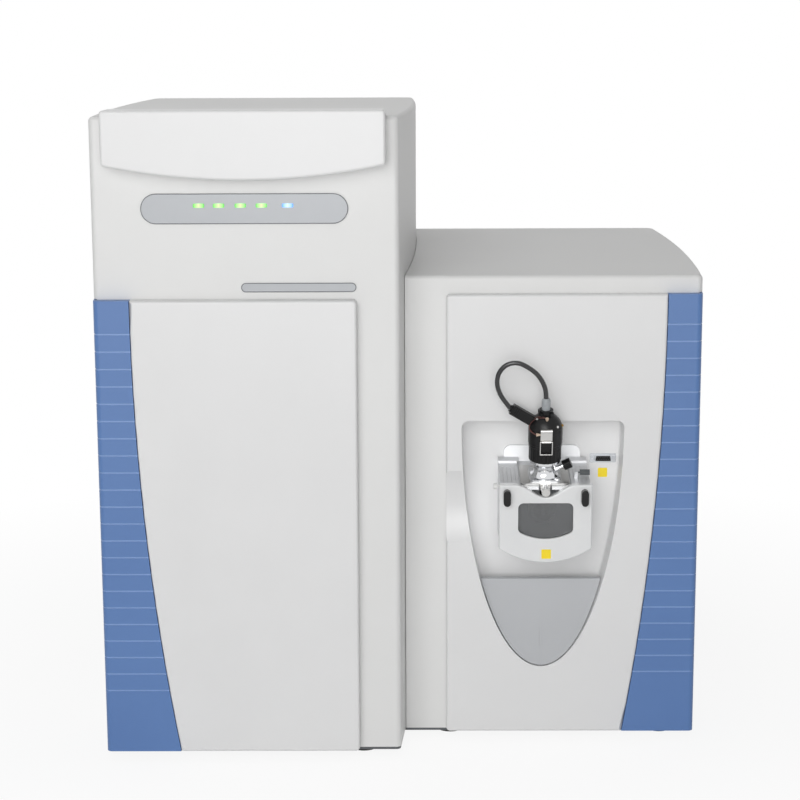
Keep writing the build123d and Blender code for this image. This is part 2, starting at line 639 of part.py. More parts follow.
def right_cover():
    """Hood of the right cabinet, with the hole for the recess in its front wall."""
    rear = REAR_Y - REAR_PANEL
    height = LOW_TOP - FOOT_HEIGHT
    outer = extrude(plan(MIDDLE_WALL, RIGHT_WALL, LOW_FRONT_Y, rear, 0, -CABINET_GAP), height)
    right_side = [e for e in upright_corners(outer, 0, REAR_Y) if e.center().X > RECESS_X]
    outer = fillet(right_side, REAR_CORNER_R)
    right_side = [e for e in upright_corners(outer, LOW_FRONT_Y - CUT, 0) if e.center().X > RECESS_X]
    outer = fillet(right_side, FRONT_CORNER_R)
    top_edges = outer.faces().sort_by(Axis.Z)[-1].edges()
    outer = fillet([e for e in top_edges if e.center().X > RIGHT_PANEL_EDGE_X], TOP_EDGE_R)
    hollow = plan(MIDDLE_WALL, RIGHT_WALL, LOW_FRONT_Y, rear, COVER_WALL, -COVER_WALL - CABINET_GAP)
    inner = extrude(hollow, height - COVER_WALL)
    right_side = [e for e in upright_corners(inner, 0, REAR_Y) if e.center().X > RECESS_X]
    inner = fillet(right_side, REAR_CORNER_R - COVER_WALL)
    right_side = [e for e in upright_corners(inner, LOW_FRONT_Y, 0) if e.center().X > RECESS_X]
    inner = fillet(right_side, FRONT_CORNER_R - COVER_WALL)
    cover = Pos(0, 0, FOOT_HEIGHT) * (outer - inner)
    cover -= rear_opening(MIDDLE_WALL, RIGHT_WALL, LOW_TOP)
    cover -= thicken(recess_face(-RECESS_WALL - CUT), LOW_FRONT_Y - CUT, LOW_FRONT_Y + COVER_WALL + CUT)
    cover -= wing_rebate(RIGHT_WALL, LOW_FRONT_Y, RIGHT_PANEL_TOP)
    cover -= beam_passage()
    return cover


def post(x, y, top):
    """Square tube upright of the chassis, standing on the base plate."""
    half = TUBE / 2
    return block((x - half, x + half), (y - half, y + half), (FOOT_HEIGHT, top))


def base_plate():
    """Two steel plates that meet under the step between the cabinets, with the covers' corners."""
    rear = REAR_Y - REAR_PANEL
    tower = extrude(plan(LEFT_WALL, MIDDLE_WALL, TOWER_FRONT_Y, rear, PLATE_INSET), DECK_PLATE)
    outer = [e for e in upright_corners(tower, 0, REAR_Y) if e.center().X < TOWER_POST_X]
    tower = fillet(outer, REAR_CORNER_R - PLATE_INSET)
    tower = fillet(upright_corners(tower, TOWER_FRONT_Y, 0), FRONT_CORNER_R - PLATE_INSET)
    low = extrude(plan(MIDDLE_WALL, RIGHT_WALL, LOW_FRONT_Y, rear, PLATE_INSET, PLATE_INSET), DECK_PLATE)
    outer = [e for e in upright_corners(low, 0, REAR_Y) if e.center().X > LOW_POST_X]
    low = fillet(outer, REAR_CORNER_R - PLATE_INSET)
    outer = [e for e in upright_corners(low, LOW_FRONT_Y, 0) if e.center().X > LOW_POST_X]
    low = fillet(outer, FRONT_CORNER_R - PLATE_INSET)
    return [Pos(0, 0, DECK_PLATE_Z) * tower, Pos(0, 0, DECK_PLATE_Z) * (low - tower)]


def chassis_frame():
    """Chassis: a steel base plate, square uprights and the rails that carry the vacuum housing."""
    half = TUBE / 2
    front_left = TOWER_FRONT_Y + COVER_WALL + half
    front_right = LOW_FRONT_Y + COVER_WALL + half
    rear = REAR_Y - REAR_PANEL - COVER_WALL - half
    tower_x = (CHASSIS_X[0] + half, TOWER_POST_X)
    low_x = (LOW_POST_X, CHASSIS_X[1] - half)
    tower_top = TOWER_TOP - COVER_WALL
    low_top = LOW_TOP - COVER_WALL
    pieces = base_plate()
    for posts_x, front, top in ((tower_x, front_left, tower_top), (low_x, front_right, low_top)):
        for x in posts_x:
            across = (x - half, x + half)
            between = (front + half, rear - half)
            pieces += [post(x, front, top), post(x, rear, top)]
            pieces.append(block(across, between, (top - TUBE, top)))
            pieces.append(block(across, between, (BEAM_Z[0] - TUBE, BEAM_Z[0])))
    bays = ((tower_x[0] + half, tower_x[1] - half), (tower_x[1] + half, low_x[0] - half))
    bays += ((low_x[0] + half, low_x[1] - half),)
    for y in BEAM_RAIL_Y:
        for bay in bays:
            pieces.append(block(bay, (y - half, y + half), (BEAM_Z[0] - TUBE, BEAM_Z[0])))
    x, y = pivot_place()
    pieces.append(Pos(x, y, FOOT_HEIGHT + PIVOT_REACH / 2) * Cylinder(PIVOT_R, PIVOT_REACH))
    return Compound(pieces)


def feet():
    """Rubber feet under the base plate."""
    foot = Pos(0, 0, DECK_PLATE_Z / 2) * Cylinder(FOOT_R, DECK_PLATE_Z)
    foot = chamfer(foot.edges().sort_by(Axis.Z)[0], FOOT_TAPER)
    places = [(x, REAR_Y - REAR_PANEL - FOOT_INSET) for x in FOOT_REAR_X]
    places += [(x, TOWER_FRONT_Y + FOOT_INSET) for x in FOOT_TOWER_X]
    places += [(x, LOW_FRONT_Y + FOOT_INSET) for x in FOOT_LOW_X]
    return Compound([Pos(x, y, 0) * foot for x, y in places])


# ---------------------------------------------------------------- front of the tower
def header_cover():
    """Moulded brow over the tower's front, bellied underneath and standing above the top edge."""
    x0, x1 = HEADER_X
    middle = ((x0 + x1) / 2, HEADER_SIDE_Z - HEADER_DROP)
    belly = ThreePointArc((x0, HEADER_SIDE_Z), middle, (x1, HEADER_SIDE_Z))
    edges = [belly, Line((x1, HEADER_SIDE_Z), (x1, HEADER_TOP)), Line((x1, HEADER_TOP), (x0, HEADER_TOP))]
    face = make_face(Curve() + edges + [Line((x0, HEADER_TOP), (x0, HEADER_SIDE_Z))])
    face = fillet(face.vertices(), HEADER_EDGE_R)
    outer = thicken(face, HEADER_FRONT_Y, TOWER_FRONT_Y + HEADER_CAP)
    outer = fillet(outer.faces().sort_by(Axis.Y)[0].edges(), HEADER_EDGE_R - 1)
    outer = fillet(outer.faces().sort_by(Axis.Y)[-1].edges().sort_by(Axis.Z)[-1], HEADER_EDGE_R)
    pocket = thicken(offset(face, -HEADER_WALL), HEADER_FRONT_Y + HEADER_WALL, TOWER_FRONT_Y)
    body = plan(LEFT_WALL, MIDDLE_WALL, TOWER_FRONT_Y, REAR_Y)
    tower = extrude(Pos(0, 0, FOOT_HEIGHT) * body, TOWER_TOP - FOOT_HEIGHT)
    return outer - pocket - tower


def status_panel():
    """Bare lamp panel with round ends and a thin dark rim."""
    face = pill(*STATUS_X, STATUS_Z, STATUS_HEIGHT)
    panel = thicken(face, TOWER_FRONT_Y - STATUS_THICK, TOWER_FRONT_Y)
    for x in LAMP_X:
        panel -= lamp(x)
    return panel


def lamp(x):
    """One lens, standing a little out of the lamp panel."""
    face = Pos(x, LAMP_Z) * RectangleRounded(*LAMP_SIZE, LAMP_CORNER_R)
    return thicken(face, TOWER_FRONT_Y - STATUS_THICK - LAMP_PROUD, TOWER_FRONT_Y)


def name_strip():
    """Bare strip with round ends below the lamp panel."""
    return thicken(pill(*STRIP_X, STRIP_Z, STRIP_HEIGHT), TOWER_FRONT_Y - STRIP_THICK, TOWER_FRONT_Y)


def white_panel(face_y, back_y, edge_x, top_z):
    """A moulded panel drawn on the +X side: plain front, walls back to the cabinet."""
    outer = thicken(panel_face(edge_x, top_z), face_y, back_y)
    corners = [e for e in outer.edges().filter_by(Axis.Y) if e.center().X < CORNER_START_X]
    outer = fillet(corners, PANEL_CORNER_R)
    outer = fillet(outer.faces().sort_by(Axis.Y)[0].edges(), PANEL_EDGE_R)
    pocket = thicken(panel_face(edge_x, top_z, 0, PANEL_WALL), face_y + PANEL_WALL, back_y)
    return outer, pocket


def mirrored(shape):
    """The same piece on the other side of the instrument."""
    return mirror(shape, Plane.YZ)


def left_door():
    """White front of the tower's door."""
    back_y = TOWER_FRONT_Y - DOOR_BACK_GAP
    outer, pocket = white_panel(LEFT_DOOR_FACE_Y, back_y, LEFT_DOOR_EDGE_X, LEFT_DOOR_TOP)
    return mirrored(outer - pocket)


def pivot_place():
    """Plan position of the door's upright hinge line, inside the rear edge of its blue wing."""
    y = TOWER_FRONT_Y + WING_DEPTH - WING_GAP - BEAD_R
    return wall_x(LEFT_WALL, y) + BEAD_R + BEAD_INSET, y


def left_corner_panel():
    """Blue side of the door: its rear edge is a round bead, bored at both ends for the pivot pins."""
    wall = [(-x, y) for x, y in LEFT_WALL]
    back_y, face_y = TOWER_FRONT_Y - DOOR_BACK_GAP, LEFT_DOOR_FACE_Y + CORNER_SET_BACK
    panel = mirrored(corner_panel(wall, TOWER_FRONT_Y, back_y, face_y, LEFT_DOOR_TOP))
    x, y = pivot_place()
    low = FOOT_HEIGHT + PANEL_LIFT
    height = LEFT_DOOR_TOP - low
    bead = Pos(x, y, low + height / 2) * Cylinder(BEAD_R, height)
    edge_trim = block((x - 3 * BEAD_R, x), (y, y + 2 * BEAD_R), (FOOT_HEIGHT - CUT, LEFT_DOOR_TOP + CUT))
    panel = (panel - edge_trim) + bead
    for z in (low, LEFT_DOOR_TOP):
        panel -= Pos(x, y, z) * Cylinder(PIVOT_R + SHAFT_CLEARANCE, 2 * (PIVOT_REACH + CUT))
    return panel


def door_top_pivot():
    """Bracket inside the tower cover with the upper pivot pin of the door."""
    x, y = pivot_place()
    low = LEFT_DOOR_TOP + WING_GAP
    half = PIVOT_PLATE / 2
    plate = block((x - half, x + PIVOT_PLATE), (y - half, y + half), (low, low + PIVOT_PLATE_THICK))
    inside = extrude(plan(LEFT_WALL, MIDDLE_WALL, TOWER_FRONT_Y, REAR_Y, COVER_WALL), TOWER_TOP)
    pin = Pos(x, y, low - PIVOT_REACH / 2) * Cylinder(PIVOT_R, PIVOT_REACH)
    return (plate & inside) + pin


def corner_panel(wall, front_y, back_y, face_y, top_z):
    """Blue moulding on the right-hand corner: a curved inner edge, a wing along the side, level grooves."""
    centre, radius = joint_line(PANEL_GAP)
    rear = front_y + WING_DEPTH - WING_GAP
    low = FOOT_HEIGHT + PANEL_LIFT
    height = top_z - low
    front = outline_block(wall, face_y, back_y, 0, height)
    hollow = outline_block(wall, face_y + PANEL_WALL, back_y, PANEL_WALL, height - PANEL_WALL)
    disc_low = thicken(Pos(centre, top_z) * Circle(radius), face_y - CUT, front_y + CUT)
    disc_high = thicken(Pos(centre, top_z) * Circle(radius + PANEL_WALL), face_y - CUT, front_y + CUT)
    panel = (front - disc_low) - (hollow - disc_high)
    side = wall_arc(wall, back_y, rear)
    back = wall_arc(wall, rear, back_y, PANEL_WALL)
    wing = make_face(Curve() + [side, Line(side @ 1, back @ 0), back, Line(back @ 1, side @ 0)])
    panel += extrude(Pos(0, 0, low) * wing, height)
    skin = outline_block(wall, face_y, rear, 0, GROOVE_HEIGHT)
    skin -= outline_block(wall, face_y + GROOVE_DEPTH, rear + CUT, GROOVE_DEPTH, GROOVE_HEIGHT)
    for i in range(GROOVE_COUNT):
        z = GROOVE_FIRST_Z - i * GROOVE_PITCH
        panel -= Pos(0, 0, z - low - GROOVE_HEIGHT / 2) * skin
    return panel


def outline_block(wall, y0, y1, inset, height):
    """Upright block between two depths, bounded by a bowed side wall, with a rounded front corner."""
    start = CORNER_START_X
    arc = wall_arc(wall, y0, y1, inset)
    edges = [arc, Line(arc @ 1, (start, y1)), Line((start, y1), (start, y0)), Line((start, y0), arc @ 0)]
    body = extrude(Pos(0, 0, FOOT_HEIGHT + PANEL_LIFT) * make_face(Curve() + edges), height)
    corner = [e for e in body.edges().filter_by(Axis.Z) if e.center().X > CURVE_X and e.center().Y < y0 + CUT]
    return fillet(corner, FRONT_CORNER_R - inset)


# ---------------------------------------------------------------- right panel and recess
def scoop(radius_extra=0.0):
    """Level cylinder that hollows the right panel between its inner edge and the recess."""
    radius = (SCOOP_HALF**2 + SCOOP_DEPTH**2) / (2 * SCOOP_DEPTH)
    axis_y = RIGHT_PANEL_FACE_Y + SCOOP_DEPTH - radius
    start = (RIGHT_PANEL_EDGE_X - CUT, axis_y, SCOOP_Z)
    return rod(start, (RECESS_X, axis_y, SCOOP_Z), radius + radius_extra)


def right_panel():
    """White front of the right cabinet with the recess opening and the scoop beside it."""
    outer, pocket = white_panel(RIGHT_PANEL_FACE_Y, LOW_FRONT_Y, RIGHT_PANEL_EDGE_X, RIGHT_PANEL_TOP)
    pocket -= scoop(PANEL_WALL)
    return outer - pocket - scoop() - thicken(recess_face(), RIGHT_PANEL_FACE_Y - CUT, LOW_FRONT_Y + CUT)


def recess_liner():
    """Deep-drawn liner of the recess: back wall and side wall in one, with the raised cable chase."""
    front_y = RIGHT_PANEL_FACE_Y + PANEL_WALL
    outer = thicken(recess_face(-RECESS_WALL), front_y, RECESS_WALL_Y + RECESS_WALL)
    inner = thicken(recess_face(), front_y - CUT, RECESS_WALL_Y)
    inner = fillet(inner.faces().sort_by(Axis.Y)[-1].edges(), RECESS_FLOOR_R)
    liner = outer - inner - scoop(PANEL_WALL)
    mount_z = DECK_FRONT_Z + (HOUSING_REAR_Y - COVER_BACK_Y) * math.tan(TILT)
    chase_y, chase_z = (RECESS_WALL_Y - CHASE_PROUD, RECESS_WALL_Y), (mount_z, RECESS_TOP - RECESS_FLOOR_R)
    liner += block(CHASE_X, chase_y, chase_z)
    return liner - inlet_hole(TUBE_FLANGE_R + CUT)


def inlet_hole(radius):
    """Level hole on the axis of the ion inlet, through the back wall and the mount."""
    ends = (MOUNT_FACE_Y - CUT, RECESS_WALL_Y + RECESS_WALL + CUT)
    return rod((SOURCE_X, ends[0], INLET_Z), (SOURCE_X, ends[1], INLET_Z), radius)


def recess_tray():
    """Grey sloping tray that fills the foot of the recess, on three ribs from the back wall."""
    top_y = RIGHT_PANEL_FACE_Y + TRAY_SET_BACK
    toe_y = RIGHT_PANEL_FACE_Y + TRAY_TOE_BACK
    toe_z = RECESS_TOP - RECESS_DROP
    rib_z = toe_z + TRAY_RIB_LIFT
    lean = [(toe_y, toe_z), (top_y, TRAY_TOP_Z), (top_y + TRAY_LEDGE, TRAY_TOP_Z)]
    back = [(top_y + TRAY_LEDGE, TRAY_TOP_Z - TRAY_WALL), (top_y + TRAY_WALL, TRAY_TOP_Z - TRAY_WALL)]
    back += [(toe_y + TRAY_WALL, toe_z)]
    side = make_face(Plane.YZ * Polyline(*lean, *back, close=True))
    front_edge = side.vertices().group_by(Axis.Z)[-1].sort_by(Axis.Y)[0]
    side = fillet(front_edge, TRAY_EDGE_R)
    sheet = Pos(RECESS_X, 0, 0) * extrude(side, RECESS_HALF, both=True)
    inner = thicken(recess_face(TRAY_GAP + RECESS_FLOOR_R), RIGHT_PANEL_FACE_Y, RECESS_WALL_Y)
    ribs = []
    for x in TRAY_RIB_X:
        web = [(toe_y + TRAY_WALL / 2, rib_z), (top_y + TRAY_WALL / 2, TRAY_TOP_Z - TRAY_WALL / 2)]
        web += [(RECESS_WALL_Y, TRAY_TOP_Z - TRAY_LEDGE), (RECESS_WALL_Y, rib_z)]
        rib = make_face(Plane.YZ * Polyline(*web, close=True))
        ribs.append(Pos(RECESS_X + x, 0, 0) * extrude(rib, TRAY_WALL / 2, both=True) & inner)
    tray = sheet & thicken(recess_face(TRAY_GAP), RIGHT_PANEL_FACE_Y, RECESS_WALL_Y)
    for rib in ribs:
        tray += rib
    return tray


def data_connector():
    """Socket on the back wall: metal flange and shell with two jack screws, and the black insert."""
    y = RECESS_WALL_Y
    flange = Pos(SOCKET_X, SOCKET_Z) * RectangleRounded(SOCKET_SIZE[0], SOCKET_SIZE[1], SOCKET_CORNER_R)
    shell = Pos(SOCKET_X, SOCKET_Z) * Trapezoid(SOCKET_SHELL[0], SOCKET_SHELL[1], SHELL_ANGLE)
    shell = fillet(shell.vertices(), SHELL_CORNER_R)
    insert = offset(shell, -SHELL_WALL)
    frame = thicken(flange, y - SOCKET_FLANGE, y) + thicken(shell, y - SHELL_PROUD, y)
    frame -= thicken(insert, y - SHELL_PROUD - CUT, y)
    body = thicken(insert, y - INSERT_PROUD, y)
    hole = Cylinder(CONTACT_R, INSERT_PROUD)
    for row, count in CONTACT_ROWS:
        for i in range(count):
            x = SOCKET_X + (i - (count - 1) / 2) * CONTACT_PITCH
            body -= Pos(x, y - INSERT_PROUD, SOCKET_Z + row) * Rot(90, 0, 0) * hole
    screws = []
    nut = extrude(RegularPolygon(JACK_NUT[0], 6), JACK_NUT[1]) - Cylinder(JACK_BORE_R, 3 * JACK_NUT[1])
    for side in (-1, 1):
        x = SOCKET_X + side * (SOCKET_SIZE[0] / 2 - JACK_INSET)
        screws.append(Pos(x, y - SOCKET_FLANGE, SOCKET_Z) * Rot(90, 0, 0) * nut)
    return Compound([frame] + screws), body


# ---------------------------------------------------------------- ion source
def source_outline(inset, top):
    """Front view of the source below its top: straight sides and a bellied underside."""
    half = SOURCE_HALF - inset
    x0, x1 = SOURCE_X - half, SOURCE_X + half
    low = COVER_SIDE_Z + inset
    belly = ThreePointArc((x0, low), (SOURCE_X, low - COVER_BELLY), (x1, low))
    return belly, (x1, top), (x0, top)


def source_mount():
    """Plate on the recess wall with an arched top and two guide pins for the housing."""
    belly, right, left = source_outline(BODY_INSET, MOUNT_TOP_Z)
    face = make_face(Curve() + [belly, Line(belly @ 1, right), Line(right, left), Line(left, belly @ 0)])
    arch = Pos(SOURCE_X, (MOUNT_TOP_Z + ARCH_TOP_Z) / 2) * Rectangle(2 * ARCH_HALF, ARCH_TOP_Z - MOUNT_TOP_Z)
    arch = fillet(arch.vertices().group_by(Axis.Y)[-1], ARCH_CORNER_R)
    plate = thicken(face, MOUNT_FACE_Y, RECESS_WALL_Y) + thicken(arch, MOUNT_FACE_Y, RECESS_WALL_Y)
    plate -= block(CHASE_X, (RECESS_WALL_Y - CHASE_PROUD, RECESS_WALL_Y), (INLET_Z, ARCH_TOP_Z + CUT))
    plate -= inlet_hole(TRANSFER_R + CUT)
    for x in GUIDE_X:
        start = (SOURCE_X + x, RECESS_WALL_Y - CUT, GUIDE_Z)
        end = (SOURCE_X + x, MOUNT_FACE_Y - GUIDE_LENGTH, GUIDE_Z)
        plate += rod(start, end, GUIDE_R)
    return plate


def deck_space(height):
    """Everything more than a given height above the source's sloping deck."""
    size = 4 * SOURCE_HALF
    return DECK * Pos(0, 0, height) * Box(size, size, size, align=(Align.CENTER, Align.CENTER, Align.MIN))


def source_housing():
    """Cast housing of the ion source: open front, ribbed sloping deck, channel and slot for the port."""
    top = ARCH_TOP_Z
    belly, right, left = source_outline(BODY_INSET, top)
    face = make_face(Curve() + [belly, Line(belly @ 1, right), Line(right, left), Line(left, belly @ 0)])
    body = thicken(face, COVER_BACK_Y, HOUSING_REAR_Y) - deck_space(0)
    rear_bar = thicken(face, HOUSING_REAR_Y - REAR_BAR, HOUSING_REAR_Y) - deck_space(REAR_BAR_HEIGHT)
    rear_bar = rear_bar & deck_space(-CUT)
    body += rear_bar - block(CHASE_X, (COVER_BACK_Y, RECESS_WALL_Y), (INLET_Z, top))
    lining, right, left = source_outline(BODY_INSET + HOUSING_WALL, top)
    hollow = make_face(Curve() + [lining, Line(lining @ 1, right), Line(right, left), Line(left, lining @ 0)])
    hollow = thicken(hollow, COVER_BACK_Y - CUT, HOUSING_REAR_Y - HOUSING_WALL) - deck_space(-HOUSING_WALL)
    body -= hollow
    channel_half = PORT_HALF + CHANNEL_GAP
    long = 2 * SOURCE_DEPTH
    body -= DECK * Pos(0, long / 2 - NOTCH_LENGTH, 0) * Box(2 * channel_half, long, 2 * CHANNEL_DEPTH)
    body -= DECK * Box(2 * NOTCH_HALF, 2 * NOTCH_LENGTH, 4 * NOSE_DROP)
    body -= screw_bore()
    half = BARREL_R + BARREL_CLEARANCE
    slot = extrude(SlotOverall(2 * (half + PORT_TRAVEL), 2 * half), 2 * HOUSING_WALL, both=True)
    body -= PROBE * Rot(0, 0, 90) * slot
    inlet = (SOURCE_X, HOUSING_REAR_Y - HOUSING_WALL - CUT, INLET_Z)
    body -= rod(inlet, (SOURCE_X, HOUSING_REAR_Y + CUT, INLET_Z), INLET_HOLE_R)
    for x in GUIDE_X:
        start = (SOURCE_X + x, HOUSING_REAR_Y + CUT, GUIDE_Z)
        end = (SOURCE_X + x, HOUSING_REAR_Y - HOUSING_WALL - CUT, GUIDE_Z)
        body -= rod(start, end, GUIDE_R + SHAFT_CLEARANCE)
    groove = Box(RIB_GROOVE, RIB_LENGTH, 2 * RIB_GROOVE)
    for side in (-1, 1):
        for i in range(RIB_COUNT):
            x = side * (channel_half + RIB_MARGIN + i * RIB_PITCH)
            body -= DECK * Pos(x, RIB_START + RIB_LENGTH / 2, 0) * groove
        body -= lever_bore(side)
    return body - side_knob_bore()


def lever_bore(side):
    """Bore of a locking lever's shaft."""
    x = SOURCE_X + side * LEVER_OFFSET
    start = (x, COVER_FACE_Y - CUT, LEVER_PIVOT_Z)
    return rod(start, (x, COVER_FACE_Y + LEVER_SHAFT, LEVER_PIVOT_Z), LEVER_SHAFT_R + SHAFT_CLEARANCE)


def window_face(grow=0.0):
    """Front view of the window: square top, bellied foot, rounded corners."""
    half = WINDOW_HALF + grow
    low, high = WINDOW_Z[0] - grow, WINDOW_Z[1] + grow
    x0, x1 = SOURCE_X - half, SOURCE_X + half
    belly = ThreePointArc((x0, low), (SOURCE_X, low - WINDOW_BELLY), (x1, low))
    edges = [belly, Line(belly @ 1, (x1, high)), Line((x1, high), (x0, high)), Line((x0, high), belly @ 0)]
    face = make_face(Curve() + edges)
    return fillet(face.vertices(), WINDOW_CORNER_R + grow)


def source_cover():
    """White front cover of the housing: waved top edge, bellied foot, rebated window."""
    belly, right, left = source_outline(0, COVER_TOP_Z)
    x1, x0 = right[0], left[0]
    dip = COVER_TOP_Z - COVER_DIP
    wave = Spline(
        [(SOURCE_X + WAVE_HALF, COVER_TOP_Z), (SOURCE_X, dip), (SOURCE_X - WAVE_HALF, COVER_TOP_Z)],
        tangents=[(-1, 0), (-1, 0), (-1, 0)],
        tangent_scalars=[1, 1, 1],
    )
    edges = [belly, Polyline(belly @ 1, right, wave @ 0), wave, Polyline(wave @ 1, left, belly @ 0)]
    cover = thicken(make_face(Curve() + edges), COVER_FACE_Y, COVER_BACK_Y)
    cover = fillet(cover.faces().sort_by(Axis.Y)[0].edges(), COVER_EDGE_R)
    cover -= thicken(window_face(), COVER_FACE_Y - CUT, COVER_BACK_Y + CUT)
    cover -= thicken(window_face(2 * SEAL_WIDTH), COVER_BACK_Y - SEAL_DEPTH, COVER_BACK_Y + CUT)
    for side in (-1, 1):
        cover -= lever_bore(side)
    return cover


def window_parts():
    """Glass pane and the rubber seal that grips its edge."""
    back = COVER_BACK_Y - SEAL_LIP
    pane = thicken(window_face(SEAL_WIDTH), back - GLASS_THICK, back)
    ring = thicken(window_face(2 * SEAL_WIDTH), COVER_BACK_Y - SEAL_DEPTH, COVER_BACK_Y)
    ring -= thicken(window_face(SEAL_GRIP), COVER_FACE_Y, COVER_BACK_Y + CUT)
    return pane, ring - pane


def locking_lever(side):
    """Black lever that turns a quarter to free the housing, with its shaft."""
    x = SOURCE_X + side * LEVER_OFFSET
    back = COVER_FACE_Y - SEAT
    slot = Rot(0, 0, 90) * SlotCenterToCenter(LEVER_LENGTH, LEVER_WIDTH)
    face = Pos(x, LEVER_PIVOT_Z - LEVER_LENGTH / 2) * slot
    lever = thicken(face, back - LEVER_PROUD, back)
    lever = fillet(lever.faces().sort_by(Axis.Y)[0].edges(), LEVER_EDGE_R)
    end = (x, COVER_FACE_Y + LEVER_SHAFT - SEAT, LEVER_PIVOT_Z)
    return lever + rod((x, back - CUT, LEVER_PIVOT_Z), end, LEVER_SHAFT_R)


# ---------------------------------------------------------------- port and probe
def port_plate():
    """Steel plate that slides in the deck's channel, with a nose for the lead screw."""
    base = RectangleRounded(2 * PORT_HALF, PORT_LENGTH, PLATE_CORNER_R)
    base = Pos(0, PORT_FRONT + PORT_LENGTH / 2, 0) * base
    plate = DECK * Pos(0, 0, SEAT - CHANNEL_DEPTH) * extrude(base, PORT_THICK)
    nose = Box(NOSE_WIDTH, NOSE_THICK, port_face_h() + NOSE_DROP, align=(Align.CENTER, Align.MIN, Align.MIN))
    plate += DECK * Pos(0, NOSE_START, -NOSE_DROP) * nose
    plate -= PROBE * Cylinder(BARREL_R + CUT, 4 * PORT_THICK)
    return plate - screw_bore()


def port_face_h():
    """Height of the port plate's upper face above the deck."""
    return PORT_THICK + SEAT - CHANNEL_DEPTH


def screw_bore():
    """Bore for the lead screw of the front knob, through the plate's nose and into the deck."""
    length = SCREW_LENGTH + 2 * (PORT_TRAVEL + CUT)
    return KNOB * Pos(0, 0, -SCREW_LENGTH / 2) * Cylinder(SCREW_R + SHAFT_CLEARANCE, length)


def probe_port():
    """Bright casting on the plate: square foot, waisted neck, spigot for the locking ring."""
    low = port_face_h()
    foot = extrude(RectangleRounded(BASE_SIZE, BASE_SIZE, BASE_CORNER_R), BASE_THICK)
    rise = NECK_TOP_H - low
    lip = RING_R - CUT
    bore = BARREL_R + SHAFT_CLEARANCE
    spigot = rise + RING_HEIGHT + 2 * SEAT
    waist = ThreePointArc((NECK_FOOT_R, BASE_THICK), (NECK_WAIST_R, rise / 2), (lip, rise - NECK_LIP))
    outline = [(lip, rise - NECK_LIP), (lip, rise), (SPIGOT_R, rise), (SPIGOT_R, spigot), (bore, spigot)]
    outline += [(bore, 0), (NECK_FOOT_R, 0), (NECK_FOOT_R, BASE_THICK)]
    neck = revolve(Plane.XZ * make_face(Curve() + [waist, Polyline(*outline)]), Axis.Z)
    port = (foot - Cylinder(bore, 4 * BASE_THICK)) + neck
    face = lock_face()
    arm = face * Pos(0, 0, -LOCK_ARM_REACH / 2) * Cylinder(LOCK_ARM_R, LOCK_ARM_REACH)
    port += arm - Cylinder(NECK_WAIST_R - CUT, 4 * RING_HEIGHT)
    port -= face * Pos(0, 0, -LOCK_SCREW / 2) * Cylinder(LOCK_SCREW_R + SHAFT_CLEARANCE, LOCK_SCREW + CUT)
    return PROBE * Pos(0, 0, low) * port


def lock_face():
    """Frame on the end of the port's side arm, pointing outwards, above the port plate."""
    along = Vector(math.cos(LOCK_LEAN), 0, math.sin(LOCK_LEAN))
    root = Vector(0, 0, LOCK_ARM_H - SPIGOT_R * math.sin(LOCK_LEAN))
    return Plane(origin=root + along * LOCK_ARM_REACH, z_dir=along)


def lock_knob():
    """Black knob on its screw in the port's side arm."""
    knob = Pos(0, 0, SEAT) * extrude(lobed(LOCK_KNOB_R, LOCK_KNOB_LOBES, LOCK_KNOB_BITE), LOCK_KNOB_LENGTH)
    knob += Pos(0, 0, CUT - LOCK_SCREW / 2) * Cylinder(LOCK_SCREW_R, LOCK_SCREW)
    return PROBE * Pos(0, 0, port_face_h()) * (lock_face() * knob)


def lobed(radius, count, depth):
    """Knob outline: a disc with round bites taken from its rim."""
    disc = Circle(radius)
    bite = Circle(depth * 1.4)
    for place in PolarLocations(radius + depth * 0.4, count):
        disc -= place * bite
    return disc


def locking_ring():
    """Black fluted ring that turns on the spigot and holds the probe down."""
    ring = extrude(lobed(RING_R, RING_FLUTES, RING_FLUTE), RING_HEIGHT)
    ring -= Cylinder(SPIGOT_R + SHAFT_CLEARANCE, 4 * RING_HEIGHT)
    return PROBE * Pos(0, 0, NECK_TOP_H + SEAT) * ring


def head_low():
    """Height of the underside of the probe head."""
    return NECK_TOP_H + RING_HEIGHT + 3 * SEAT


def probe_head():
    """Black moulded head of the probe with a domed top, a front flat for the clip and a side boss."""
    low = head_low()
    shoulder = (HEAD_R, HEAD_TOP_H - HEAD_DOME)
    middle = (HEAD_R - HEAD_DOME_MID[0], HEAD_TOP_H - HEAD_DOME_MID[1])
    dome = ThreePointArc(shoulder, middle, (HEAD_TOP_R, HEAD_TOP_H))
    set_back, band = HEAD_SKIRT
    line = [(HEAD_TOP_R, HEAD_TOP_H), (HEAD_BORE_R, HEAD_TOP_H), (HEAD_BORE_R, low + HEAD_DEPTH)]
    line += [(BARREL_R, low + HEAD_DEPTH), (BARREL_R, low), (HEAD_R - set_back, low)]
    line += [(HEAD_R - set_back, low + band), (HEAD_R, low + band + set_back), shoulder]
    head = revolve(Plane.XZ * make_face(Curve() + [dome, Polyline(*line)]), Axis.Z)
    flat = Box(CLIP_WIDTH, 2 * CLIP_THICK, CLIP_HEIGHT + 2 * BAIL_EYE_R)
    head -= Pos(0, -HEAD_R - CLIP_THICK + FLAT_DEPTH, CLIP_H - BAIL_EYE_R) * flat
    return PROBE * head


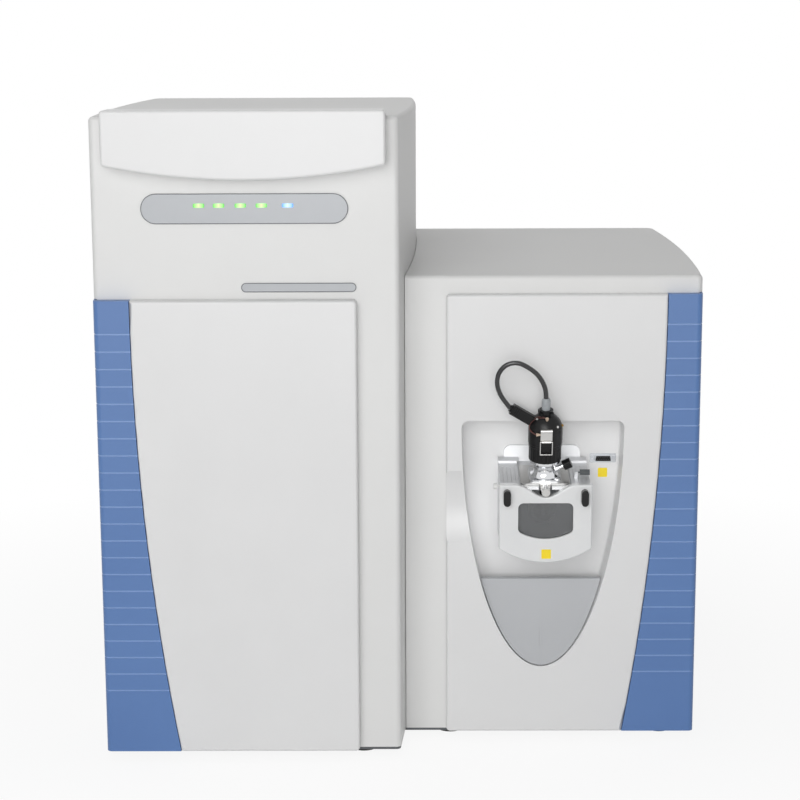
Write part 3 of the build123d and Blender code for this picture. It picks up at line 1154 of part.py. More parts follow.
def probe_barrel():
    """Steel barrel through the port with its spray nozzle."""
    top = head_low() + HEAD_DEPTH
    step, taper = BARREL_TAPER
    line = [(0, top), (BARREL_R, top), (BARREL_R, taper - BARREL_REACH), (BARREL_R - step, -BARREL_REACH)]
    line += [(NOZZLE_R, -BARREL_REACH), (NOZZLE_R / 2, -BARREL_REACH - NOZZLE_LENGTH)]
    line += [(0, -BARREL_REACH - NOZZLE_LENGTH)]
    return PROBE * revolve(Plane.XZ * make_face(Polyline(*line, close=True)), Axis.Z)


def probe_collar():
    """Black collar with four lugs on top of the head."""
    collar = extrude(Circle(COLLAR_R), COLLAR_HEIGHT)
    lug = extrude(RectangleRounded(*LUG_SIZE), COLLAR_HEIGHT - LUG_DROP)
    for place in PolarLocations(LUG_RADIUS, LUG_COUNT, 45):
        collar += place * lug
    collar -= Cylinder(FITTING_R, 4 * COLLAR_HEIGHT)
    return PROBE * Pos(0, 0, HEAD_TOP_H) * collar


def probe_fitting():
    """Clouded plastic strain-relief sleeve that the lead comes out of."""
    top = FITTING_HEIGHT + FITTING_TIP
    bore, lip = CABLE_D / 2, CABLE_D / 2 + FITTING_LIP
    middle = (FITTING_R - FITTING_LIP, FITTING_HEIGHT + 2 * FITTING_TIP / 3)
    shoulder = ThreePointArc((FITTING_R, FITTING_HEIGHT), middle, (lip, top))
    line = [(lip, top), (bore, top), (bore, SLEEVE_FLOOR), (0, SLEEVE_FLOOR), (0, 0), (FITTING_R, 0)]
    line += [(FITTING_R, FITTING_HEIGHT)]
    sleeve = revolve(Plane.XZ * make_face(Curve() + [shoulder, Polyline(*line)]), Axis.Z)
    return PROBE * Pos(0, 0, HEAD_TOP_H) * sleeve


def connector_frame():
    """Frame on the connector's axis, pointing out of the head to the upper left."""
    lean = math.radians(CONNECTOR_TILT)
    origin = (CONNECTOR_START[0], 0, HEAD_TOP_H + CONNECTOR_START[1])
    return Plane(origin=origin, x_dir=(0, 1, 0), z_dir=(-math.cos(lean), 0, math.sin(lean)))


def probe_connector():
    """Black plug body on the side of the head."""
    width, height = CONNECTOR_SIZE
    radius, length = CONNECTOR_TAIL
    plug = extrude(RectangleRounded(height, width, CONNECTOR_CORNER_R), CONNECTOR_LENGTH)
    plug += Pos(0, 0, CONNECTOR_LENGTH) * extrude(Circle(radius), length)
    neck = RectangleRounded(height - 2 * GRIP_DEPTH, width - 2 * GRIP_DEPTH, CONNECTOR_CORNER_R)
    band = extrude(Rectangle(2 * height, 2 * width) - neck, GRIP_WIDTH)
    for i in range(GRIP_COUNT):
        plug -= Pos(0, 0, CONNECTOR_LENGTH - (i + 1) * GRIP_PITCH - GRIP_WIDTH) * band
    return cut_by(PROBE * (connector_frame() * plug), probe_head().solids())


def bend_radii(points):
    """Largest tangent arcs that the runs on both sides of each corner leave room for."""
    radii = []
    for a, b, c in zip(points, points[1:], points[2:]):
        before, after = Vector(*b) - Vector(*a), Vector(*c) - Vector(*b)
        turn = math.radians(before.get_angle(after))
        radii.append(CABLE_TURN * min(before.length, after.length) / math.tan(turn / 2))
    return radii


def probe_cable():
    """Captive lead of the probe, a round tube on straight runs and tangent arcs."""
    points = [(x, 0, HEAD_TOP_H + h) for x, h in CABLE_ROUTE]
    radii = bend_radii(points)
    route = FilletPolyline(*points, radius=radii)
    start = Plane(origin=route @ 0, z_dir=route % 0)
    tube = sweep(start * Circle(CABLE_D / 2), path=route)
    print("probe_cable radii", [round(r, 1) for r in radii], "length", round(route.length, 1))
    print("probe_cable volume share", round(tube.volume / (route.length * math.pi * CABLE_D**2 / 4), 4))
    return cut_by(PROBE * tube, probe_connector().solids())


def probe_clip():
    """Folded steel clip on the front of the head with a barrel for the bail."""
    face_y = -HEAD_R + FLAT_DEPTH
    plate = Pos(0, face_y - CLIP_THICK / 2, CLIP_H) * Box(CLIP_WIDTH, CLIP_THICK, CLIP_HEIGHT)
    roll_h = CLIP_H + CLIP_HEIGHT / 2 - CLIP_ROLL_R
    plate += Pos(0, face_y - CLIP_ROLL_R, roll_h) * Rot(0, 90, 0) * Cylinder(CLIP_ROLL_R, CLIP_WIDTH)
    eye = Rot(0, 90, 0) * Cylinder(BAIL_EYE_R, 2 * BAIL_HALF - 2 * BAIL_EYE_R)
    bore = Rot(0, 90, 0) * Cylinder(BAIL_WIRE_R + SHAFT_CLEARANCE, 2 * CLIP_WIDTH)
    pivot = Pos(0, BAIL_Y, BAIL_H)
    return PROBE * ((plate + pivot * eye) - pivot * bore)


def probe_bail():
    """Wire bail that hangs from the clip over the locking ring."""
    half, drop = BAIL_HALF, BAIL_DROP
    corners = [(-half, 0, 0), (half, 0, 0), (half, 0, -drop), (-half, 0, -drop)]
    bail = None
    for a, b in zip(corners, corners[1:] + corners[:1]):
        side = rod(a, b, BAIL_WIRE_R)
        bail = side if bail is None else bail + side
    for corner in corners:
        bail += Pos(*corner) * Sphere(BAIL_WIRE_R)
    return PROBE * Pos(0, BAIL_Y, BAIL_H) * bail


def heater_ferrules():
    """Cream ceramic ferrules of the heater leads: one beside the clip, one on the dome."""
    side = Plane(origin=(-CLIP_WIDTH / 2 - SEAT, FERRULE_INSET - HEAD_R, FERRULE_H), z_dir=(-1, 0, 0))
    cone = Pos(0, 0, FERRULE_LENGTH / 2) * Cone(*FERRULE_ENDS, FERRULE_LENGTH)
    x, y, h = DOME_FERRULE
    upper = Plane(origin=(x, y, HEAD_TOP_H + h), z_dir=(0, -DOME_FERRULE_LEAN, 1))
    pair = [side * cone, upper * cone]
    head = (probe_head() + probe_clip()).solids()
    return Compound([cut_by(PROBE * piece, head) for piece in pair])


def cut_by(piece, solids):
    """A piece trimmed where it sits on others."""
    for solid in solids:
        piece = piece - solid
    return piece.solids().sort_by(SortBy.VOLUME)[-1]


# ---------------------------------------------------------------- small controls
def front_knob():
    """Bright thumb knob on the lead screw that moves the port plate fore and aft."""
    knob = extrude(lobed(KNOB_R, KNOB_FLUTES, KNOB_FLUTE), KNOB_LENGTH)
    knob = chamfer(knob.faces().sort_by(Axis.Z)[-1].edges(), KNOB_BEVEL)
    screw = Pos(0, 0, -SCREW_LENGTH / 2) * Cylinder(SCREW_R, SCREW_LENGTH)
    return KNOB * (knob + screw)


def thumb_wheel():
    """Dark knurled wheel on the right side of the deck, on a thin rod."""
    wheel = extrude(lobed(WHEEL_R, WHEEL_FLUTES, WHEEL_FLUTE), WHEEL_LENGTH / 2, both=True)
    thin = Pos(0, 0, -(WHEEL_LENGTH + WHEEL_ROD) / 2) * Cylinder(WHEEL_ROD_R, WHEEL_ROD)
    return WHEEL * (wheel + thin)


def wheel_stand():
    """Bracket on the deck that the wheel's rod turns in."""
    width, depth = STAND_SIZE
    x = WHEEL_X - WHEEL_LENGTH / 2 - WHEEL_ROD
    size = (width, depth, WHEEL_H + STAND_RISE)
    stand = DECK * Pos(x, WHEEL_ALONG, 0) * Box(*size, align=(Align.MIN, Align.CENTER, Align.MIN))
    return stand - WHEEL * Cylinder(WHEEL_ROD_R + SHAFT_CLEARANCE, 4 * WHEEL_LENGTH)


def side_knob():
    """White knob on a thin rod at the left side of the housing."""
    knob = Pos(0, 0, SIDE_ROD) * extrude(Circle(SIDE_KNOB_R), SIDE_KNOB_LENGTH)
    knob = chamfer(knob.edges().sort_by(Axis.Z)[-1], KNOB_CHAMFER)
    shaft = extrude(Circle(SIDE_ROD_R), SIDE_ROD + SIDE_ROD_GRIP + CUT)
    return side_knob_frame() * (knob + Pos(0, 0, -SIDE_ROD_GRIP) * shaft)


def side_knob_frame():
    """Frame on the left face of the housing, pointing outwards along the side knob's rod."""
    x = SOURCE_X - SOURCE_HALF + BODY_INSET
    return Plane(origin=(x, SIDE_KNOB_Y, SIDE_KNOB_Z), z_dir=(-1, 0, 0))


def side_knob_bore():
    """Blind bore in the housing's left wall for the side knob's rod."""
    return side_knob_frame() * Cylinder(SIDE_ROD_R + SHAFT_CLEARANCE, 2 * (SIDE_ROD_GRIP + SEAT))


# ---------------------------------------------------------------- vacuum system and electronics
def ion_inlet():
    """Cone and flange on the mount, with the heated transfer tube behind it."""
    y = MOUNT_FACE_Y
    line = [(r, y - reach) for r, reach in INLET_CONE]
    line += [(TUBE_FLANGE_R, line[-1][1]), (TUBE_FLANGE_R, y), (0, y)]
    return Pos(SOURCE_X, 0, INLET_Z) * revolve(make_face(Polyline(*line, close=True)), Axis.Y)


def transfer_tube():
    """Tube from the inlet through the recess wall to the vacuum housing."""
    return rod((SOURCE_X, MOUNT_FACE_Y, INLET_Z), (SOURCE_X, BEAM_Y[0], INLET_Z), TRANSFER_R)


def vacuum_housing():
    """Milled aluminium housing of the ion path with a lid flange along the top."""
    body = block(BEAM_X, BEAM_Y, BEAM_Z)
    body = chamfer(body.edges().filter_by(Axis.Z), BEAM_CHAMFER)
    lid = extrude(RectangleRounded(*LID_SIZE, LID_CORNER_R), LID_THICK)
    for x in LID_X:
        body += Pos(x, sum(BEAM_Y) / 2, BEAM_Z[1]) * lid
    return body


def analyser_chamber():
    """Round ultra-high-vacuum chamber of the mass analyser, standing on the vacuum housing."""
    face = Circle(CHAMBER_FLANGE_R)
    chamber = extrude(face, CHAMBER_FLANGE) + extrude(Circle(CHAMBER_R), CHAMBER_FLANGE + CHAMBER_HEIGHT)
    chamber += Pos(0, 0, CHAMBER_FLANGE + CHAMBER_HEIGHT) * extrude(face, CHAMBER_CAP)
    return Pos(ANALYSER_X, sum(BEAM_Y) / 2, BEAM_Z[1]) * chamber


def turbo_pumps():
    """Turbomolecular pumps bolted under the vacuum housing."""
    rim, thick = PUMP_FLANGE
    line = [(0, 0), (rim, 0), (rim, -thick), (PUMP_R, -thick), (PUMP_R, -PUMP_BODY)]
    line += [(PUMP_FOOT_R, -PUMP_BODY - PUMP_CONE), (PUMP_FOOT_R, -PUMP_LENGTH), (0, -PUMP_LENGTH)]
    pump = revolve(Plane.XZ * make_face(Polyline(*line, close=True)), Axis.Z)
    return Compound([Pos(x, sum(BEAM_Y) / 2, BEAM_Z[0]) * pump for x in PUMP_X])


def board_rack():
    """Sheet-metal card cage on the tower's base plate."""
    x, y, z = RACK_X, RACK_Y, (FOOT_HEIGHT, RACK_TOP)
    t = RACK_WALL
    return block(x, y, z) - block((x[0] + t, x[1] - t), (y[0] - CUT, y[1] - t), (z[0] + t, z[1] - t))


def circuit_boards():
    """Printed circuit boards standing in the card cage."""
    boards = []
    t = RACK_WALL
    span = RACK_X[1] - RACK_X[0] - 2 * t
    y, z = (RACK_Y[0] + BOARD_SET_BACK, RACK_Y[1] - t), (FOOT_HEIGHT + t, RACK_TOP - t)
    for i in range(BOARD_COUNT):
        x = RACK_X[0] + t + span * (i + 0.5) / BOARD_COUNT
        boards.append(block((x - BOARD_THICK / 2, x + BOARD_THICK / 2), y, z))
    return Compound(boards)


def power_supply():
    """Power supply on the base plate of the right cabinet."""
    box = block(SUPPLY_X, SUPPLY_Y, (FOOT_HEIGHT, FOOT_HEIGHT + SUPPLY_HEIGHT))
    return chamfer(box.edges().filter_by(Axis.Z), SUPPLY_CHAMFER)


# ---------------------------------------------------------------- rear
def fan_frames():
    """Square fan housings behind the tower's rear panel."""
    thick, width = FAN_SPOKE
    frame = extrude(RectangleRounded(FAN_SIZE, FAN_SIZE, FAN_CORNER_R) - Circle(FAN_BORE_R), FAN_DEPTH)
    arms = Circle(FAN_HUB_R - CUT)
    for place in PolarLocations(FAN_BORE_R / 2 + CUT, FAN_SPOKES, 30):
        arms += place * Rectangle(FAN_BORE_R, width)
    frame += extrude(arms, thick) + extrude(Circle(FAN_HUB_R - CUT), FAN_HUB_BACK)
    frame += extrude(Circle(FAN_SHAFT_R), FAN_SHAFT)
    y = REAR_Y - REAR_PANEL - FAN_DEPTH
    return Compound([Pos(FAN_X, y, z) * Rot(-90, 0, 0) * frame for z in FAN_Z])


def fan_rotor(z):
    """Hub and twisted blades of one fan, on the shaft of its frame."""
    start = FAN_HUB_BACK + SEAT
    depth = FAN_DEPTH - start - FAN_CLEARANCE
    hub = Cylinder(FAN_HUB_R, depth)
    blade = Pos(FAN_BORE_R / 2, 0, 0) * Rot(BLADE_TILT, 0, 0) * Box(FAN_BORE_R, depth, BLADE_THICK)
    rim = Cylinder(FAN_BORE_R - TIP_CLEARANCE, depth)
    for place in PolarLocations(0, FAN_BLADES):
        hub += place * blade & rim
    bore = FAN_SHAFT - start + SEAT
    hub -= Pos(0, 0, (bore - depth - CUT) / 2) * Cylinder(FAN_SHAFT_R + SHAFT_CLEARANCE, bore + CUT)
    y = REAR_Y - REAR_PANEL - FAN_DEPTH + start + depth / 2
    return Pos(FAN_X, y, z) * Rot(-90, 0, 0) * hub


def tower_rear_panel():
    """Rear panel of the tower with a ringed grille for each fan and a stack of louvres."""
    panel = rear_panel(LEFT_WALL, MIDDLE_WALL, TOWER_TOP)
    for z in FAN_Z:
        for inner, outer in GRILLE_RINGS:
            ring = Circle(outer) - Circle(inner)
            for place in PolarLocations(outer / 2, GRILLE_WEBS, 45):
                ring -= place * Rectangle(outer, GRILLE_WEB)
            panel -= thicken(Pos(FAN_X, z) * ring, REAR_Y - REAR_PANEL - CUT, REAR_Y + CUT)
    for slot in louvres(*TOWER_VENT):
        panel -= slot
    return panel


def right_rear_panel():
    """Rear panel of the right cabinet: louvres, the mains opening and a well for the connections."""
    panel = rear_panel(MIDDLE_WALL, RIGHT_WALL, LOW_TOP)
    for slot in louvres(*RIGHT_VENT):
        panel -= slot
    panel -= thicken(Pos(*INLET_BOX) * Rectangle(*INLET_SIZE), REAR_Y - REAR_PANEL - CUT, REAR_Y + CUT)
    middle = Pos(sum(WELL_X) / 2, sum(WELL_Z) / 2)
    size = (WELL_X[1] - WELL_X[0], WELL_Z[1] - WELL_Z[0])
    pan = middle * RectangleRounded(*size, WELL_CORNER_R)
    floor = REAR_Y - WELL_DEPTH
    panel += thicken(pan, floor - WELL_WALL, REAR_Y - REAR_PANEL)
    panel -= thicken(offset(pan, -WELL_WALL), floor, REAR_Y + CUT)
    for x in PORT_X:
        panel -= rod((x, floor - WELL_WALL - CUT, PORT_Z), (x, floor + CUT, PORT_Z), PORT_R)
    for z in GAS_Z:
        panel -= rod((GAS_X, floor - WELL_WALL - CUT, z), (GAS_X, floor + CUT, z), GAS_R)
    return panel


def power_entry():
    """Mains inlet and switch frame in the rear panel of the right cabinet."""
    x, z = INLET_BOX
    half_w, half_h = INLET_SIZE[0] / 2, INLET_SIZE[1] / 2
    reach, thick = INLET_FLANGE
    inside = REAR_Y - REAR_PANEL
    body = block((x - half_w, x + half_w), (REAR_Y - INLET_DEPTH, REAR_Y), (z - half_h, z + half_h))
    rim_x, rim_z = half_w + reach, half_h + reach
    body += block((x - rim_x, x + rim_x), (inside - thick, inside), (z - rim_z, z + rim_z))
    foot = z - half_h + MAINS_RISE
    floor = REAR_Y - MAINS_DEPTH
    body -= thicken(Pos(x, foot) * RectangleRounded(*MAINS_SOCKET), floor, REAR_Y + CUT)
    width, height, length = MAINS_PIN
    for px, pz in MAINS_PINS:
        body += thicken(Pos(x + px, foot + pz) * Rectangle(width, height), floor - CUT, floor + length)
    well, depth = SWITCH_WELL
    middle = switch_height()
    body -= thicken(Pos(x, middle) * Rectangle(well, well), REAR_Y - depth, REAR_Y + CUT)
    y = REAR_Y - SWITCH_AXIS
    body -= rod((x - SWITCH_ARM, y, middle), (x + SWITCH_ARM, y, middle), SWITCH_PIN_R)
    return body


def switch_height():
    """Height of the rocker's pin."""
    return INLET_BOX[1] + INLET_SIZE[1] / 2 - SWITCH_DROP


def power_switch():
    """Rocker of the mains switch on its pin, its upper end standing out."""
    half, low = SWITCH_HALF, SWITCH_DEPTH
    face = [(low + SWITCH_DISH, -half), (low, 0), (low + SWITCH_DISH, half)]
    back = [(SWITCH_EDGE, half), (-SWITCH_KEEL[1], SWITCH_KEEL[0]), (-SWITCH_KEEL[1], -SWITCH_KEEL[0])]
    outline = Polyline(*face, *back, (SWITCH_EDGE, -half), close=True)
    rocker = extrude(Plane.YZ * make_face(outline), SWITCH_WIDTH / 2, both=True)
    rocker += Rot(0, 90, 0) * Cylinder(SWITCH_PIN_R - SHAFT_CLEARANCE, 2 * (SWITCH_ARM - SEAT))
    place = Pos(INLET_BOX[0], REAR_Y - SWITCH_AXIS, switch_height())
    return place * Rot(-SWITCH_TILT, 0, 0) * rocker


def vacuum_ports():
    """Flanged tubes for the fore-vacuum hoses, standing in the well."""
    reach, thick = PORT_FLANGE
    start, end = REAR_Y - WELL_DEPTH - CONNECTION_TAIL, REAR_Y - CONNECTION_INSET
    bore, rim = PORT_R - PORT_WALL, PORT_R + reach
    line = [(bore, start), (PORT_R, start), (PORT_R, end - thick - PORT_TAPER), (rim, end - thick)]
    line += [(rim, end), (bore, end)]
    port = revolve(make_face(Polyline(*line, close=True)), Axis.Y)
    return Compound([Pos(x, 0, PORT_Z) * port for x in PORT_X])


def gas_fittings():
    """Bulkhead fittings for the gas supply, each with a nut on both sides of the well's floor."""
    radius, thick = GAS_NUT
    bore, depth = GAS_BORE
    floor, end = REAR_Y - WELL_DEPTH, REAR_Y - CONNECTION_INSET
    nut = RegularPolygon(radius, 6)
    fittings = []
    for z in GAS_Z:
        body = rod((GAS_X, floor - CONNECTION_TAIL, z), (GAS_X, end, z), GAS_R)
        body += thicken(Pos(GAS_X, z) * nut, floor, floor + thick)
        body += thicken(Pos(GAS_X, z) * nut, floor - WELL_WALL - thick, floor - WELL_WALL)
        fittings.append(body - rod((GAS_X, end - depth, z), (GAS_X, end + CUT, z), bore))
    return Compound(fittings)


def panel_screws():
    """Flat-head screws up the sides of the two rear panels, flush in seats of the sheet."""
    radius, height = SCREW_HEAD
    length, width, depth = SCREW_SLOT
    head = extrude(Circle(radius), height) - Pos(0, 0, height) * Box(length, width, 2 * depth)
    places = screw_places(LEFT_WALL, MIDDLE_WALL, TOWER_TOP) + screw_places(MIDDLE_WALL, RIGHT_WALL, LOW_TOP)
    return Compound([Pos(x, REAR_Y - height, z) * Rot(-90, 0, 0) * head for x, z in places])


def screw_places(left, right, top):
    """Places of a rear panel's screws, a row up each side."""
    inset = REAR_FRAME - REAR_LAP / 2
    low, high = FOOT_HEIGHT + inset + SCREW_MARGIN, top - inset - SCREW_MARGIN
    places = []
    for x in (wall_x(left, REAR_Y) + inset, wall_x(right, REAR_Y) - inset):
        places += [(x, low + (high - low) * i / (SCREW_ROWS - 1)) for i in range(SCREW_ROWS)]
    return places


# ---------------------------------------------------------------- export
parts = {
    "chassis_frame": chassis_frame(),
    "feet": feet(),
    "tower_cover": tower_cover(),
    "right_cover": right_cover(),
    "header_cover": header_cover(),
    "status_panel": status_panel(),
    "status_lamps_green": Compound([lamp(x) for x in LAMP_X[:-1]]),
    "status_lamp_blue": lamp(LAMP_X[-1]),
    "name_strip": name_strip(),
    "left_door": left_door(),
    "left_corner_panel": left_corner_panel(),
    "door_top_pivot": door_top_pivot(),
    "right_panel": right_panel(),
    "right_corner_panel": corner_panel(
        RIGHT_WALL, LOW_FRONT_Y, LOW_FRONT_Y, RIGHT_PANEL_FACE_Y + CORNER_SET_BACK, RIGHT_PANEL_TOP
    ),
    "recess_liner": recess_liner(),
    "recess_tray": recess_tray(),
    "source_mount": source_mount(),
    "source_housing": source_housing(),
    "source_cover": source_cover(),
    "source_lever_left": locking_lever(-1),
    "source_lever_right": locking_lever(1),
    "port_plate": port_plate(),
    "probe_port": probe_port(),
    "locking_ring": locking_ring(),
    "lock_knob": lock_knob(),
    "front_knob": front_knob(),
    "thumb_wheel": thumb_wheel(),
    "wheel_stand": wheel_stand(),
    "side_knob": side_knob(),
    "probe_head": probe_head(),
    "probe_barrel": probe_barrel(),
    "probe_collar": probe_collar(),
    "probe_fitting": probe_fitting(),
    "probe_connector": probe_connector(),
    "probe_cable": probe_cable(),
    "probe_clip": probe_clip(),
    "probe_bail": probe_bail(),
    "heater_ferrules": heater_ferrules(),
    "ion_inlet": ion_inlet(),
    "transfer_tube": transfer_tube(),
    "vacuum_housing": vacuum_housing(),
    "analyser_chamber": analyser_chamber(),
    "turbo_pumps": turbo_pumps(),
    "board_rack": board_rack(),
    "circuit_boards": circuit_boards(),
    "power_supply": power_supply(),
    "fan_frames": fan_frames(),
    "fan_rotor_upper": fan_rotor(FAN_Z[1]),
    "fan_rotor_lower": fan_rotor(FAN_Z[0]),
    "tower_rear_panel": tower_rear_panel(),
    "right_rear_panel": right_rear_panel(),
    "power_entry": power_entry(),
    "power_switch": power_switch(),
    "vacuum_ports": vacuum_ports(),
    "gas_fittings": gas_fittings(),
    "panel_screws": panel_screws(),
}
parts["window_glass"], parts["window_seal"] = window_parts()
parts["data_socket"], parts["data_socket_insert"] = data_connector()

os.makedirs("parts", exist_ok=True)
for name, shape in parts.items():
    export_step(shape, f"parts/{name}.step")
print(len(parts), "nodes")
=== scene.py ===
# %% [markdown]
# A bench mass spectrometer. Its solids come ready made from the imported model, in metres, and each
# of them already rides on the body that it moves with. This script gives each one the finish of its
# real material, adds the small trim that is too fine for the solids, and sets up a floor, soft
# light and a camera.

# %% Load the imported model
import math

import bpy
from mathutils import Matrix, Vector


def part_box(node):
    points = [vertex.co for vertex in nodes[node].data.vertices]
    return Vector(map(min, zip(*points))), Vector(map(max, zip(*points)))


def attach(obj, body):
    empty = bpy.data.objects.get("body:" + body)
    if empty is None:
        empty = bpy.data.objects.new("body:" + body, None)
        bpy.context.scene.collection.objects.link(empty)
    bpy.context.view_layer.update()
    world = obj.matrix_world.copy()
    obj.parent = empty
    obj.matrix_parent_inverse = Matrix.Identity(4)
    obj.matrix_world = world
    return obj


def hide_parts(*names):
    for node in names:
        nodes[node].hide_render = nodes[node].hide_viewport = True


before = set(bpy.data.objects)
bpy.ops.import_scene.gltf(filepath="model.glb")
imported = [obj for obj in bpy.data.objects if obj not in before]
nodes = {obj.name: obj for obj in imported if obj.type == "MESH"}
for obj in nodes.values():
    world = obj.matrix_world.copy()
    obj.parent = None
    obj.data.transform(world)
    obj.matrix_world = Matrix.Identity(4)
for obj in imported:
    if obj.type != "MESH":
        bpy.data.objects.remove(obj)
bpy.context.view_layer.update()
MM = 0.001

# %% [markdown]
# A camera is placed by where it stands and where it looks. Here it stands well back and a little
# above the instrument, with a long lens, so that upright edges stay nearly parallel.

# %% Camera
IMAGE_SIZE = 800
FOCAL_PIXELS = 1952.45
SENSOR_MM = 36.0
CAMERA_PLACE = Vector((0.0193, -3.11825, 1.05309))
CAMERA_YAW = -0.0084
CAMERA_PITCH = -0.1859
CAMERA_ROLL = -0.0041


def camera_matrix(place, yaw, pitch, roll):
    """World matrix of a camera that looks along +Y, turned by yaw, pitch and roll in radians."""
    look = Vector((math.sin(yaw) * math.cos(pitch), math.cos(yaw) * math.cos(pitch), math.sin(pitch)))
    side = Vector((math.cos(yaw), -math.sin(yaw), 0.0))
    rise = side.cross(look)
    right = math.cos(roll) * side + math.sin(roll) * rise
    up = math.cos(roll) * rise - math.sin(roll) * side
    turn = Matrix((right, up, -look)).transposed().to_4x4()
    return Matrix.Translation(place) @ turn


camera_data = bpy.data.cameras.new("camera")
camera_data.sensor_width = SENSOR_MM
camera_data.lens = FOCAL_PIXELS / IMAGE_SIZE * SENSOR_MM
camera = bpy.data.objects.new("camera", camera_data)
camera.matrix_world = camera_matrix(CAMERA_PLACE, CAMERA_YAW, CAMERA_PITCH, CAMERA_ROLL)
bpy.context.scene.collection.objects.link(camera)
bpy.context.scene.camera = camera
print("camera lens", round(camera_data.lens, 1), "mm")

# %% [markdown]
# Colours are written as sRGB hex, the way a paint chart gives them, and turned to the linear
# values that the renderer mixes light in. One helper adds any node, sets it up and links it.


# %% Colour and node helpers
def linear(code):
    """Linear RGBA of an sRGB hex colour such as "#E4E4E2"."""
    parts = [int(code[i : i + 2], 16) / 255 for i in (1, 3, 5)]
    return tuple(c / 12.92 if c <= 0.04045 else ((c + 0.055) / 1.055) ** 2.4 for c in parts) + (1.0,)


def add(tree, kind, inputs=None, **settings):
    """Adds a node. inputs maps a socket's name or number to a value, or to (node, output) for a link."""
    node = tree.nodes.new(kind)
    for key, value in settings.items():
        setattr(node, key, value)
    for key, value in (inputs or {}).items():
        if isinstance(value, tuple) and isinstance(value[0], bpy.types.Node):
            tree.links.new(value[0].outputs[value[1]], node.inputs[key])
        else:
            node.inputs[key].default_value = value
    return node


def blank(name):
    """An empty material: its tree and a place that gives coordinates in metres."""
    material = bpy.data.materials.new(name)
    material.use_nodes = True
    tree = material.node_tree
    tree.nodes.clear()
    place = add(tree, "ShaderNodeTexCoord")
    return material, tree, place


def close(tree, surface):
    """Links the last shader to the material's output."""
    add(tree, "ShaderNodeOutputMaterial", {"Surface": (surface, 0)})


def per_metre(size_mm):
    """Scale of a texture whose cells measure size_mm across."""
    return 1000.0 / size_mm


def dress(material, *names):
    """Gives CAD nodes a material on every slot."""
    for name in names:
        data = nodes[name].data
        data.materials.clear()
        data.materials.append(material)


print("mid grey #808080 is", round(linear("#808080")[0], 3), "in linear light")

# %% [markdown]
# Powder coat is a paint that is baked from dry powder. It flows into a very fine orange peel, so
# a white cover shows a soft highlight without a mirror image. The peel is about 0.6 mm across in
# reality and is drawn at 1.6 mm, so that a render can show it.


# %% White powder coat on the covers
TONE_MM = 140


def powder_coat(name, light, dark, peel_mm=1.6, roughness=0.42):
    material, tree, place = blank(name)
    where = (place, "Object")
    peel = add(tree, "ShaderNodeTexNoise", {"Vector": where, "Scale": per_metre(peel_mm), "Detail": 2.0})
    tone = add(tree, "ShaderNodeTexNoise", {"Vector": where, "Scale": per_metre(TONE_MM), "Detail": 3.0})
    tint = add(
        tree,
        "ShaderNodeMix",
        {0: (tone, 0), 6: linear(dark), 7: linear(light)},
        data_type="RGBA",
    )
    rough = add(tree, "ShaderNodeMapRange", {0: (tone, 0), 3: roughness - 0.05, 4: roughness + 0.06})
    bump = add(tree, "ShaderNodeBump", {"Height": (peel, 0), "Strength": 0.06, "Distance": 0.0002})
    paint = add(
        tree,
        "ShaderNodeBsdfPrincipled",
        {"Base Color": (tint, 2), "Roughness": (rough, 0), "Normal": (bump, 0), "IOR": 1.5},
    )
    close(tree, paint)
    return material


cover_white = powder_coat("powder_coat_white", "#E3E3E2", "#DEDEDD")
chassis_grey = powder_coat("powder_coat_grey", "#5A5D60", "#505356")
dress(cover_white, "tower_cover", "right_cover", "tower_rear_panel", "right_rear_panel")
dress(chassis_grey, "chassis_frame")
print("powder coat on covers and chassis")

# %% [markdown]
# The front panels are moulded ABS with a satin skin. A moulded skin is smoother than paint: the
# roughness is lower, the tone drifts a little where the melt flowed, and the bump is only a faint
# grain from the mould. The black nylon parts have less shine, which keeps them deep black.


# %% Moulded ABS
GRAIN_MM = 0.9


def moulded_abs(name, light, dark, roughness=0.32, flow_mm=90, shine=0.5):
    material, tree, place = blank(name)
    where = (place, "Object")
    flow = add(tree, "ShaderNodeTexNoise", {"Vector": where, "Scale": per_metre(flow_mm), "Detail": 2.0})
    grain = add(
        tree,
        "ShaderNodeTexNoise",
        {"Vector": where, "Scale": per_metre(GRAIN_MM), "Detail": 1.0},
    )
    tint = add(
        tree,
        "ShaderNodeMix",
        {0: (flow, 0), 6: linear(dark), 7: linear(light)},
        data_type="RGBA",
    )
    rough = add(tree, "ShaderNodeMapRange", {0: (flow, 0), 3: roughness - 0.04, 4: roughness + 0.05})
    bump = add(tree, "ShaderNodeBump", {"Height": (grain, 0), "Strength": 0.04, "Distance": 0.0001})
    skin = add(
        tree,
        "ShaderNodeBsdfPrincipled",
        {
            "Base Color": (tint, 2),
            "Roughness": (rough, 0),
            "Normal": (bump, 0),
            "IOR": 1.53,
            "Specular IOR Level": shine,
        },
    )
    close(tree, skin)
    return material


panel_white = moulded_abs("abs_white", "#E4E4E4", "#E0E0E0")
liner_grey = moulded_abs("abs_liner", "#EDEDED", "#E8E8E8", 0.38)
tray_grey = moulded_abs("abs_tray", "#B5B7BA", "#AFB1B4", 0.4)
lamp_grey = moulded_abs("abs_lamp_panel", "#B4B7BB", "#AFB2B6", 0.3, 30)
rim_grey = moulded_abs("abs_rim", "#7A7D80", "#707376", 0.35, 10)
black_plastic = moulded_abs("nylon_black", "#0F0F10", "#09090A", 0.3, 12, shine=0.25)
wheel_grey = moulded_abs("nylon_dark_grey", "#4B5052", "#43484A", 0.35, 8)
knob_white = moulded_abs("nylon_white", "#E6E6E4", "#DEDEDC", 0.3, 8)
dress(panel_white, "left_door", "right_panel", "header_cover")
dress(liner_grey, "recess_liner")
dress(tray_grey, "recess_tray")
dress(lamp_grey, "status_panel", "name_strip")
